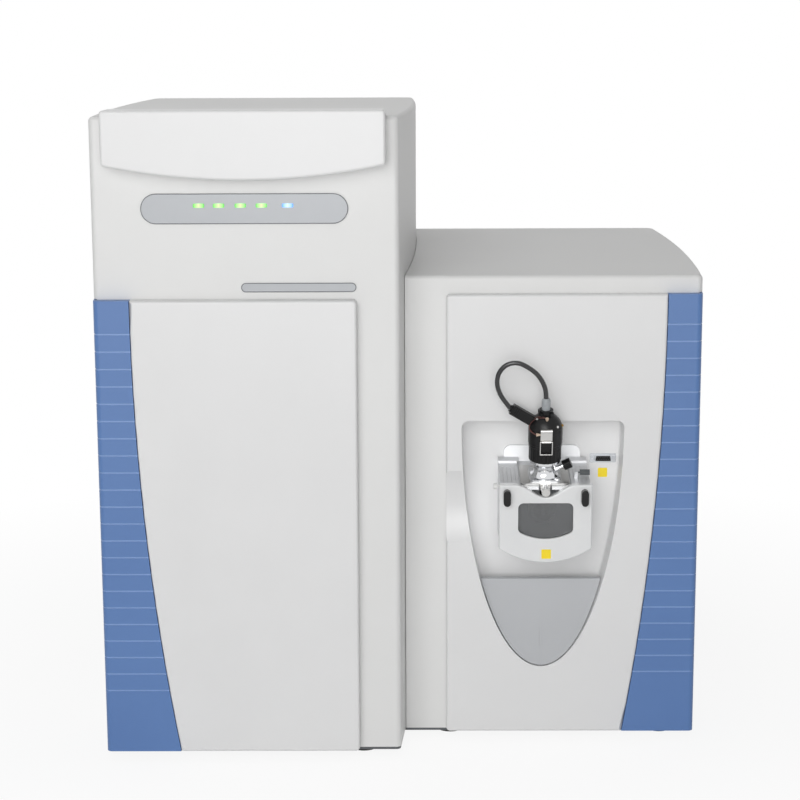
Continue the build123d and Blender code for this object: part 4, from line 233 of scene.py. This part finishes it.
dress(black_plastic, "source_lever_left", "source_lever_right", "locking_ring", "lock_knob", "probe_head")
dress(black_plastic, "probe_collar", "probe_connector", "data_socket_insert", "fan_frames")
dress(black_plastic, "fan_rotor_upper", "fan_rotor_lower", "power_entry", "power_switch")
dress(wheel_grey, "thumb_wheel")
dress(knob_white, "side_knob")
print("moulded plastics done")

# %% [markdown]
# The blue corners are moulded in through-coloured ABS too. The flank of each level groove that
# faces up catches the light, and that highlight is painted into the colour as a pale line. The
# grooves repeat at an even pitch, so the painted lines come from the height alone: the height below
# the top groove is divided by the pitch, and what is left after rounding says how near a groove is.
# Two more tests keep the lines to the grooves that exist.

# %% Blue corner panels
GROOVE_TOP = 635.3 * MM
GROOVE_PITCH = 25.08 * MM
GROOVE_COUNT = 22
GROOVE_HALF = 1.1 * MM


def corner_blue():
    material, tree, place = blank("abs_blue")
    flow = add(
        tree,
        "ShaderNodeTexNoise",
        {"Vector": (place, "Object"), "Scale": per_metre(120), "Detail": 2.0},
    )
    tint = add(
        tree,
        "ShaderNodeMix",
        {0: (flow, 0), 6: linear("#5276AE"), 7: linear("#597DB4")},
        data_type="RGBA",
    )
    height = add(tree, "ShaderNodeSeparateXYZ", {0: (place, "Object")})
    above = add(tree, "ShaderNodeMath", {0: (height, 2), 1: GROOVE_TOP}, operation="SUBTRACT")
    phase = add(tree, "ShaderNodeMath", {0: (above, 0), 1: GROOVE_PITCH}, operation="DIVIDE")
    whole = add(tree, "ShaderNodeMath", {0: (phase, 0)}, operation="ROUND")
    rest = add(tree, "ShaderNodeMath", {0: (phase, 0), 1: (whole, 0)}, operation="SUBTRACT")
    gap = add(tree, "ShaderNodeMath", {0: (rest, 0)}, operation="ABSOLUTE")
    line = add(
        tree,
        "ShaderNodeMath",
        {0: (gap, 0), 1: GROOVE_HALF / GROOVE_PITCH},
        operation="LESS_THAN",
    )
    lowest = add(
        tree,
        "ShaderNodeMath",
        {0: (whole, 0), 1: 0.5 - GROOVE_COUNT},
        operation="GREATER_THAN",
    )
    highest = add(tree, "ShaderNodeMath", {0: (whole, 0), 1: 0.5}, operation="LESS_THAN")
    both = add(tree, "ShaderNodeMath", {0: (lowest, 0), 1: (highest, 0)}, operation="MULTIPLY")
    painted_groove_highlight = add(tree, "ShaderNodeMath", {0: (line, 0), 1: (both, 0)}, operation="MULTIPLY")
    # Painted highlight: a pale blue line along each groove stands for its upward flank catching the light.
    colour = add(
        tree,
        "ShaderNodeMix",
        {0: (painted_groove_highlight, 0), 6: (tint, 2), 7: linear("#87A5D2")},
        data_type="RGBA",
    )
    grain = add(tree, "ShaderNodeTexNoise", {"Vector": (place, "Object"), "Scale": per_metre(GRAIN_MM)})
    bump = add(tree, "ShaderNodeBump", {"Height": (grain, 0), "Strength": 0.05, "Distance": 0.0001})
    skin = add(
        tree,
        "ShaderNodeBsdfPrincipled",
        {"Base Color": (colour, 2), "Roughness": 0.38, "Normal": (bump, 0), "IOR": 1.53},
    )
    close(tree, skin)
    return material


dress(corner_blue(), "left_corner_panel", "right_corner_panel")
print("blue corners with", GROOVE_COUNT, "pale grooves")

# %% [markdown]
# Metals take their colour from the reflection, so metallic is 1 and the base colour is the metal's
# own. What tells one metal finish from another is how rough it is and in which direction it was
# worked: turned steel has rings, brushed steel has lines, blasted castings have even grit.


# %% Metals
def worked_metal(name, light, dark, roughness, grain_mm, stretch=(1.0, 1.0, 1.0), depth=0.08):
    material, tree, place = blank(name)
    run = add(tree, "ShaderNodeMapping", {"Vector": (place, "Object"), "Scale": stretch})
    grain = add(
        tree,
        "ShaderNodeTexNoise",
        {"Vector": (run, 0), "Scale": per_metre(grain_mm), "Detail": 3.0},
    )
    tint = add(
        tree,
        "ShaderNodeMix",
        {0: (grain, 0), 6: linear(dark), 7: linear(light)},
        data_type="RGBA",
    )
    rough = add(tree, "ShaderNodeMapRange", {0: (grain, 0), 3: roughness * 0.8, 4: roughness * 1.25})
    bump = add(tree, "ShaderNodeBump", {"Height": (grain, 0), "Strength": depth, "Distance": 0.0001})
    metal = add(
        tree,
        "ShaderNodeBsdfPrincipled",
        {"Base Color": (tint, 2), "Metallic": 1.0, "Roughness": (rough, 0), "Normal": (bump, 0)},
    )
    close(tree, metal)
    return material


cast_aluminium = worked_metal("blasted_aluminium", "#DEDFE0", "#D2D3D5", 0.52, 0.7, depth=0.15)
milled_aluminium = worked_metal("milled_aluminium", "#CBCDCF", "#BFC1C3", 0.35, 1.2, (0.1, 1.0, 1.0))
brushed_steel = worked_metal("brushed_steel", "#CDCCCA", "#BDBCBA", 0.3, 0.8, (0.08, 1.0, 1.0))
turned_steel = worked_metal("turned_steel", "#D2D1CF", "#C2C1BF", 0.24, 0.8, (1.0, 1.0, 0.1))
polished_chrome = worked_metal("polished_chrome", "#DDDEE0", "#D6D7D9", 0.09, 6.0, depth=0.01)
zinc_sheet = worked_metal("zinc_plated_steel", "#B9BBBE", "#A4A7AB", 0.38, 9.0)
turned_brass = worked_metal("turned_brass", "#C9A45C", "#B58F48", 0.25, 0.8, (1.0, 0.1, 1.0))
dress(cast_aluminium, "source_mount", "source_housing", "wheel_stand")
dress(milled_aluminium, "vacuum_housing", "turbo_pumps", "vacuum_ports")
dress(brushed_steel, "port_plate", "probe_clip", "probe_bail")
dress(turned_steel, "front_knob", "probe_barrel", "ion_inlet", "transfer_tube", "analyser_chamber")
dress(polished_chrome, "probe_port")
dress(zinc_sheet, "door_top_pivot", "data_socket", "board_rack", "power_supply", "panel_screws")
dress(turned_brass, "gas_fittings")
print("metals done")

# %% [markdown]
# The front cover of the source is glazed white, with a tinted window held in a black rubber seal.
# Enamel is a thin glass over a white ground: a clear coat over a rougher base gives that depth. The
# window is borosilicate glass whose gloss varies a little, and the rubber is dull, with a cloudy
# bloom on its surface.


# %% Enamel, window and seal
def white_enamel():
    material, tree, place = blank("enamel_white")
    cloud = add(
        tree,
        "ShaderNodeTexNoise",
        {"Vector": (place, "Object"), "Scale": per_metre(25), "Detail": 2.0},
    )
    tint = add(
        tree,
        "ShaderNodeMix",
        {0: (cloud, 0), 6: linear("#DEDFE0"), 7: linear("#E5E6E6")},
        data_type="RGBA",
    )
    wave = add(tree, "ShaderNodeBump", {"Height": (cloud, 0), "Strength": 0.05, "Distance": 0.0003})
    glaze = add(
        tree,
        "ShaderNodeBsdfPrincipled",
        {
            "Base Color": (tint, 2),
            "Roughness": 0.3,
            "Coat Weight": 0.5,
            "Coat Roughness": 0.08,
            "Normal": (wave, 0),
        },
    )
    close(tree, glaze)
    return material


def tinted_window():
    material, tree, place = blank("borosilicate_tinted")
    smear = add(
        tree,
        "ShaderNodeTexNoise",
        {"Vector": (place, "Object"), "Scale": per_metre(18), "Detail": 2.0},
    )
    rough = add(tree, "ShaderNodeMapRange", {0: (smear, 0), 3: 0.03, 4: 0.09})
    glass = add(
        tree,
        "ShaderNodeBsdfPrincipled",
        {
            "Base Color": linear("#A6A8AA"),
            "Roughness": (rough, 0),
            "IOR": 1.47,
            "Transmission Weight": 0.75,
        },
    )
    close(tree, glass)
    return material


def soft_rubber(name, light, dark):
    material, tree, place = blank(name)
    bloom = add(
        tree,
        "ShaderNodeTexNoise",
        {"Vector": (place, "Object"), "Scale": per_metre(6), "Detail": 4.0},
    )
    tint = add(
        tree,
        "ShaderNodeMix",
        {0: (bloom, 0), 6: linear(dark), 7: linear(light)},
        data_type="RGBA",
    )
    rough = add(tree, "ShaderNodeMapRange", {0: (bloom, 0), 3: 0.5, 4: 0.7})
    bump = add(tree, "ShaderNodeBump", {"Height": (bloom, 0), "Strength": 0.1, "Distance": 0.0001})
    rubber = add(
        tree,
        "ShaderNodeBsdfPrincipled",
        {"Base Color": (tint, 2), "Roughness": (rough, 0), "Normal": (bump, 0), "IOR": 1.52},
    )
    close(tree, rubber)
    return material


dress(white_enamel(), "source_cover")
dress(tinted_window(), "window_glass")
rubber_black = soft_rubber("rubber_black", "#262626", "#1A1A1A")
dress(rubber_black, "window_seal", "feet")
print("source cover, window and seal done")


# %% [markdown]
# Three small materials. The probe's sleeve is a clouded fluoropolymer that lets a little light
# through. The ferrules are fired ceramic, chalky with fine specks. The circuit boards behind the
# door have a green solder mask, and a brick pattern stands for their rows of tracks.


# %% Sleeve, ceramic and boards
def clouded_sleeve():
    material, tree, place = blank("clouded_fluoropolymer")
    cloud = add(
        tree,
        "ShaderNodeTexNoise",
        {"Vector": (place, "Object"), "Scale": per_metre(4), "Detail": 2.0},
    )
    tint = add(
        tree,
        "ShaderNodeMix",
        {0: (cloud, 0), 6: linear("#A9AEB2"), 7: linear("#C3C7CA")},
        data_type="RGBA",
    )
    sleeve = add(
        tree,
        "ShaderNodeBsdfPrincipled",
        {"Base Color": (tint, 2), "Roughness": 0.22, "IOR": 1.35, "Transmission Weight": 0.25},
    )
    close(tree, sleeve)
    return material


def fired_ceramic():
    material, tree, place = blank("ceramic_cream")
    speck = add(
        tree,
        "ShaderNodeTexNoise",
        {"Vector": (place, "Object"), "Scale": per_metre(0.8), "Detail": 2.0},
    )
    tint = add(
        tree,
        "ShaderNodeMix",
        {0: (speck, 0), 6: linear("#B59C85"), 7: linear("#DDC9B6")},
        data_type="RGBA",
    )
    body = add(
        tree,
        "ShaderNodeBsdfPrincipled",
        {"Base Color": (tint, 2), "Roughness": 0.45, "IOR": 1.6},
    )
    close(tree, body)
    return material


def solder_mask():
    material, tree, place = blank("circuit_board_green")
    tracks = add(
        tree,
        "ShaderNodeTexBrick",
        {
            "Vector": (place, "Object"),
            "Color1": linear("#1E6B3A"),
            "Color2": linear("#17592F"),
            "Mortar": linear("#2F8A52"),
            "Scale": per_metre(12),
            "Mortar Size": 0.03,
        },
    )
    board = add(tree, "ShaderNodeBsdfPrincipled", {"Base Color": (tracks, 0), "Roughness": 0.35})
    close(tree, board)
    return material


dress(clouded_sleeve(), "probe_fitting")
dress(fired_ceramic(), "heater_ferrules")
dress(solder_mask(), "circuit_boards")
print("sleeve, ferrules and boards done")

# %% [markdown]
# A lamp's lens is clear acrylic that glows most in its middle. The glow is an emission whose colour
# changes towards the lens's ends, worked out from how far a point lies from the nearest centre.

# %% Status lamps
LAMP_X = [x * MM for x in (-285.7, -257.5, -227.0, -197.4, -160.5)]
LAMP_HALF = 8.0 * MM


def lamp_lens(name, centres, core, edge, strength):
    material, tree, place = blank(name)
    spot = add(tree, "ShaderNodeSeparateXYZ", {0: (place, "Object")})
    nearest = None
    for centre in centres:
        side = add(tree, "ShaderNodeMath", {0: (spot, 0), 1: centre}, operation="SUBTRACT")
        gap = add(tree, "ShaderNodeMath", {0: (side, 0)}, operation="ABSOLUTE")
        if nearest is None:
            nearest = gap
        else:
            nearest = add(tree, "ShaderNodeMath", {0: (nearest, 0), 1: (gap, 0)}, operation="MINIMUM")
    fade = add(tree, "ShaderNodeMapRange", {0: (nearest, 0), 1: 0.0, 2: LAMP_HALF, 3: 1.0, 4: 0.0})
    colour = add(
        tree,
        "ShaderNodeMix",
        {0: (fade, 0), 6: linear(edge), 7: linear(core)},
        data_type="RGBA",
    )
    lens = add(
        tree,
        "ShaderNodeBsdfPrincipled",
        {
            "Base Color": (colour, 2),
            "Roughness": 0.2,
            "Emission Color": (colour, 2),
            "Emission Strength": strength,
        },
    )
    close(tree, lens)
    return material


dress(lamp_lens("lens_green", LAMP_X[:-1], "#C8FF9A", "#3FB83A", 0.55), "status_lamps_green")
dress(lamp_lens("lens_blue", LAMP_X[-1:], "#BFE4FF", "#3A8CE6", 0.55), "status_lamp_blue")
print("lamps done")

# %% [markdown]
# The probe's lead is a round cable with a glossy jacket. As a smooth curve it bends without
# corners, which a tube made of straight runs and arcs can't quite do, so a spline replaces it.
# The points repeat the lead's route: how far to the side of the probe, and how high above the deck.

# %% Probe lead
DECK_SLOPE = math.radians(13)
DECK_MIDDLE = Vector((207.0, -350.0, 406.3))
DECK_BACKWARD = Vector((0, math.cos(DECK_SLOPE), math.sin(DECK_SLOPE)))
PROBE_SETBACK = 28.8
PROBE_FOOT = DECK_MIDDLE + PROBE_SETBACK * DECK_BACKWARD
PROBE_UP = Vector((0, -math.sin(DECK_SLOPE), math.cos(DECK_SLOPE)))
LEAD_DIAMETER = 7.0 * MM
LEAD_ROUTE = [
    (0.0, 118.0), (0.0, 134.0), (-5.0, 149.5), (-14.0, 163.0), (-26.5, 173.0), (-41.5, 181.0),
    (-57.5, 178.5), (-68.5, 167.0), (-72.0, 151.5), (-69.0, 136.0), (-61.5, 122.0), (-52.2, 110.1),
]


def on_probe(side, height, forward=0.0):
    """A point given square to the probe, in metres in the row frame."""
    return (PROBE_FOOT + Vector((side, 0, 0)) + height * PROBE_UP - forward * DECK_BACKWARD) * MM


def smooth_curve(name, points, diameter, material, resolution=8):
    """A round cable along a smooth curve through its control points."""
    data = bpy.data.curves.new(name, "CURVE")
    data.dimensions = "3D"
    spline = data.splines.new("NURBS")
    spline.points.add(len(points) - 1)
    for spot, point in zip(spline.points, points):
        spot.co = (*point, 1.0)
    spline.order_u = 3
    spline.use_endpoint_u = True
    spline.resolution_u = resolution
    data.bevel_depth = diameter / 2
    data.bevel_resolution = 6
    data.use_fill_caps = True
    data.materials.append(material)
    cable = bpy.data.objects.new(name, data)
    bpy.context.scene.collection.objects.link(cable)
    return cable


def cable_jacket(name, light, dark, roughness=0.18):
    material, tree, place = blank(name)
    wave = add(
        tree,
        "ShaderNodeTexNoise",
        {"Vector": (place, "Object"), "Scale": per_metre(9), "Detail": 2.0},
    )
    tint = add(
        tree,
        "ShaderNodeMix",
        {0: (wave, 0), 6: linear(dark), 7: linear(light)},
        data_type="RGBA",
    )
    jacket = add(
        tree,
        "ShaderNodeBsdfPrincipled",
        {"Base Color": (tint, 2), "Roughness": roughness, "Coat Weight": 0.4, "Coat Roughness": 0.1},
    )
    close(tree, jacket)
    return material


lead = smooth_curve(
    "probe_lead",
    [on_probe(side, height) for side, height in LEAD_ROUTE],
    LEAD_DIAMETER,
    cable_jacket("pvc_black", "#1C1C1E", "#121214"),
)
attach(lead, "probe")
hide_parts("probe_cable")
print("probe lead with", len(LEAD_ROUTE), "points")

# %% [markdown]
# The lamp panel and the name strip are let into the cover and held by a thin grey bead. A bead is
# a tube along a closed outline: two straight runs and two half circles, drawn as one curve.

# %% Beads round the lamp panel and the strip
BEAD_DIAMETER = 1.3 * MM
HALF_CIRCLE_STEPS = 18


def pill_outline(low, high):
    """Points round an outline with half-round ends, on the front face of a box."""
    radius = (high.z - low.z) / 2
    middle = (high.z + low.z) / 2
    points = []
    for centre, start in ((high.x - radius, -math.pi / 2), (low.x + radius, math.pi / 2)):
        for step in range(HALF_CIRCLE_STEPS + 1):
            angle = start + math.pi * step / HALF_CIRCLE_STEPS
            points.append((centre + radius * math.cos(angle), low.y, middle + radius * math.sin(angle)))
    return points


def bead(name, node):
    """A thin bead round a CAD node with half-round ends."""
    data = bpy.data.curves.new(name, "CURVE")
    data.dimensions = "3D"
    outline = pill_outline(*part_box(node))
    spline = data.splines.new("POLY")
    spline.points.add(len(outline) - 1)
    for spot, point in zip(spline.points, outline):
        spot.co = (*point, 1.0)
    spline.use_cyclic_u = True
    data.bevel_depth = BEAD_DIAMETER / 2
    data.bevel_resolution = 3
    data.materials.append(rim_grey)
    ring = bpy.data.objects.new(name, data)
    bpy.context.scene.collection.objects.link(ring)
    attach(ring, "cabinet")


bead("lamp_panel_bead", "status_panel")
bead("name_strip_bead", "name_strip")
print("beads", round(BEAD_DIAMETER / MM, 1), "mm thick")

# %% [markdown]
# Plain yellow vinyl patches mark two spots on and beside the source. A patch is only a few tenths
# of a millimetre thick, with rounded corners so that it doesn't peel. It is built as an outline of
# four quarter circles, given a thickness.

# %% Plain yellow patches
PATCH_SIZE = 14.0 * MM
WALL_FACE = -258.0 * MM
PATCH_THICK = 0.3 * MM
PATCH_CORNER = 1.4 * MM
CORNER_STEPS = 5


def patch(name, x_mm, y, z_mm, body, material):
    """A thin square patch with rounded corners, on a surface that faces the front."""
    half = PATCH_SIZE / 2 - PATCH_CORNER
    rim = []
    for quarter in range(4):
        middle = math.radians(45 + 90 * quarter)
        corner = Vector((math.copysign(half, math.cos(middle)), 0, math.copysign(half, math.sin(middle))))
        for step in range(CORNER_STEPS + 1):
            angle = math.radians(90 * quarter + 90 * step / CORNER_STEPS)
            rim.append(corner + PATCH_CORNER * Vector((math.cos(angle), 0, math.sin(angle))))
    centre = Vector((x_mm * MM, y, z_mm * MM))
    points = [centre + point for point in rim]
    points += [centre + point - Vector((0, PATCH_THICK, 0)) for point in rim]
    count = len(rim)
    faces = [tuple(range(count))[::-1], tuple(range(count, 2 * count))]
    faces += [(i, (i + 1) % count, count + (i + 1) % count, count + i) for i in range(count)]
    data = bpy.data.meshes.new(name)
    data.from_pydata(points, [], faces)
    data.materials.append(material)
    piece = bpy.data.objects.new(name, data)
    bpy.context.scene.collection.objects.link(piece)
    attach(piece, body)


vinyl_yellow = moulded_abs("vinyl_yellow", "#FFE400", "#F8DA00", 0.35, 6)
COVER_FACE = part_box("source_cover")[0].y
PATCHES = [
    ("cover_patch", 208.2, COVER_FACE, 305.7, "source"),
    ("wall_patch", 298.5, WALL_FACE, 404.0, "cabinet"),
]
for name, x_mm, face, z_mm, body in PATCHES:
    patch(name, x_mm, face, z_mm, body, vinyl_yellow)
print(len(PATCHES), "patches", round(PATCH_SIZE / MM, 1), "mm square")

# %% [markdown]
# On the probe's head there are fine things that only a close look shows: the two heater wires in
# their brown lacquer, which run round the head from one ceramic ferrule to the other, two small
# nuts on the dome, and a brass contact at the side. Their places are given square to the probe:
# to the side, up its axis and forward. Each nut is a six-sided prism, sunk a little into the head.

# %% Heater wires, nuts and contact on the probe's head
WIRE_DIAMETER = 0.9 * MM
WIRE_ROUTES = [
    [(-15.0, 77.0, 21.6), (-20.2, 78.6, 17.4), (-23.6, 81.0, 10.6), (-24.7, 84.0, 4.8), (-22.6, 89.8, 3.6),
     (-17.9, 95.5, 5.4), (-10.3, 99.6, 8.1), (-4.6, 100.5, 11.2), (0.0, 99.6, 14.6)],
    [(-15.0, 76.4, 21.8), (-20.6, 77.4, 17.0), (-23.9, 80.0, 11.6), (-24.2, 84.6, 8.0), (-21.2, 91.0, 7.6),
     (-15.0, 96.4, 9.4), (-8.9, 99.0, 11.6), (-4.0, 99.6, 13.2), (0.0, 98.8, 15.0)],
]
NUT_WIDTH = 3.4
NUT_HEIGHT = 1.8
NUT_SINK = 0.6


def six_sided(name, place, outward, material):
    """A small hexagonal piece that stands square on the head."""
    across = outward.orthogonal().normalized()
    along = outward.cross(across)
    points = []
    for level in (-NUT_SINK, NUT_HEIGHT):
        for step in range(6):
            angle = math.radians(60 * step)
            spoke = NUT_WIDTH / math.sqrt(3) * (math.cos(angle) * across + math.sin(angle) * along)
            points.append(place + (spoke + level * outward) * MM)
    faces = [(5, 4, 3, 2, 1, 0), (6, 7, 8, 9, 10, 11)]
    faces += [(i, (i + 1) % 6, 6 + (i + 1) % 6, 6 + i) for i in range(6)]
    data = bpy.data.meshes.new(name)
    data.from_pydata(points, [], faces)
    data.materials.append(material)
    piece = bpy.data.objects.new(name, data)
    bpy.context.scene.collection.objects.link(piece)
    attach(piece, "probe")


def probe_direction(side, height, forward):
    """A direction given square to the probe."""
    return (on_probe(side, height, forward) - on_probe(0, 0)).normalized()


lacquer_brown = cable_jacket("lacquer_brown", "#6A3A32", "#552C27", 0.3)
for number, route in enumerate(WIRE_ROUTES, 1):
    points = [on_probe(*spot) for spot in route]
    wire = smooth_curve(f"heater_wire_{number}", points, WIRE_DIAMETER, lacquer_brown)
    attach(wire, "probe")
HEAD_FASTENERS = [
    ("dome_nut_left", (-12.5, 95.6, 10.6), (-0.45, 0.81, 0.37), turned_steel, "knob_steel"),
    ("dome_nut_right", (15.4, 86.8, 16.8), (0.62, 0.34, 0.7), turned_steel, "knob_steel"),
    ("side_contact", (23.5, 83.9, 4.5), (0.92, 0.34, 0.19), turned_brass, "brass_fitting"),
]
for name, place, outward, metal, finish in HEAD_FASTENERS:
    six_sided(name, on_probe(*place), probe_direction(*outward), metal)
print("wires", len(WIRE_ROUTES), "and fasteners", len(HEAD_FASTENERS))

# %% [markdown]
# A studio floor should fade to white and still hold the shadow that grounds the instrument. The
# floor is a plain matt surface for light, and for the eye a part of it glows evenly, so that the
# shadow stays soft. That share grows with the distance from the instrument until the floor is as
# white as the world behind it, and no edge shows between the two.

# %% Floor and backdrop
FLOOR_HALF = 30.0
FLOOR_GLOW = 0.9
SHADOW_REACH = (0.55, 1.5)


def studio_floor():
    data = bpy.data.meshes.new("floor")
    corners = [(-FLOOR_HALF, -FLOOR_HALF, 0), (FLOOR_HALF, -FLOOR_HALF, 0)]
    corners += [(FLOOR_HALF, FLOOR_HALF, 0), (-FLOOR_HALF, FLOOR_HALF, 0)]
    data.from_pydata(corners, [], [(0, 1, 2, 3)])
    floor = bpy.data.objects.new("floor", data)
    bpy.context.scene.collection.objects.link(floor)
    material, tree, place = blank("studio_floor")
    cloud = add(tree, "ShaderNodeTexNoise", {"Vector": (place, "Object"), "Scale": 0.5})
    tint = add(
        tree,
        "ShaderNodeMix",
        {0: (cloud, 0), 6: linear("#F2F2F2"), 7: linear("#F6F6F6")},
        data_type="RGBA",
    )
    matt = add(tree, "ShaderNodeBsdfDiffuse", {"Color": (tint, 2)})
    glow = add(tree, "ShaderNodeEmission", {"Color": (1.0, 1.0, 1.0, 1.0), "Strength": 1.0})
    seen = seen_directly(tree)
    distance = add(tree, "ShaderNodeVectorMath", {0: (place, "Object")}, operation="LENGTH")
    near, far = SHADOW_REACH
    white = add(
        tree,
        "ShaderNodeMapRange",
        {0: (distance, "Value"), 1: near, 2: far, 3: FLOOR_GLOW, 4: 1.0},
    )
    share = add(tree, "ShaderNodeMath", {0: (seen, 0), 1: (white, 0)}, operation="MULTIPLY")
    mix = add(tree, "ShaderNodeMixShader", {0: (share, 0), 1: (matt, 0), 2: (glow, 0)})
    close(tree, mix)
    data.materials.append(material)
    return floor


def seen_directly(tree):
    """1 where the eye, a mirror or a window looks at the surface, 0 where it only lights others."""
    path = add(tree, "ShaderNodeLightPath")
    mirrored = add(
        tree,
        "ShaderNodeMath",
        {0: (path, "Is Camera Ray"), 1: (path, "Is Glossy Ray")},
        operation="MAXIMUM",
    )
    either = {0: (mirrored, 0), 1: (path, "Is Transmission Ray")}
    return add(tree, "ShaderNodeMath", either, operation="MAXIMUM")


WORLD_LIGHT = 0.22


def studio_world():
    world = bpy.data.worlds.new("studio")
    world.use_nodes = True
    tree = world.node_tree
    tree.nodes.clear()
    dim = add(tree, "ShaderNodeBackground", {"Color": (1.0, 1.0, 1.0, 1.0), "Strength": WORLD_LIGHT})
    white = add(tree, "ShaderNodeBackground", {"Color": (1.0, 1.0, 1.0, 1.0), "Strength": 1.0})
    mix = add(tree, "ShaderNodeMixShader", {0: (seen_directly(tree), 0), 1: (dim, 0), 2: (white, 0)})
    add(tree, "ShaderNodeOutputWorld", {"Surface": (mix, 0)})
    bpy.context.scene.world = world


floor = studio_floor()
studio_world()
print("floor", 2 * FLOOR_HALF, "m wide, shadow fades from", *SHADOW_REACH, "m")

# %% [markdown]
# Soft light comes from large lamps: the bigger the lamp looks from the instrument, the softer the
# edge of a shadow. The main lamp hangs in front, above and to the left, and a second one stands
# straight in front, so that light reaches the back wall of the recess.

# %% Lamps
LAMPS = [
    ("main", (-1.0, -4.4, 1.9), (0.05, -0.3, 0.42), 2.8, 74.0),
    ("front", (0.1, -4.2, 1.0), (0.15, -0.3, 0.36), 1.8, 33.0),
    ("top", (-1.0, 0.3, 3.6), (0.0, 0.0, 0.6), 2.4, 14.0),
]


def soft_lamp(name, place, target, size, watts):
    data = bpy.data.lights.new(name, "AREA")
    data.size = size
    data.energy = watts
    lamp = bpy.data.objects.new(name, data)
    lamp.location = place
    lamp.rotation_euler = (Vector(target) - Vector(place)).to_track_quat("-Z", "Y").to_euler()
    bpy.context.scene.collection.objects.link(lamp)


for values in LAMPS:
    soft_lamp(*values)
bpy.context.scene.view_settings.view_transform = "Standard"
print(len(LAMPS), "lamps")
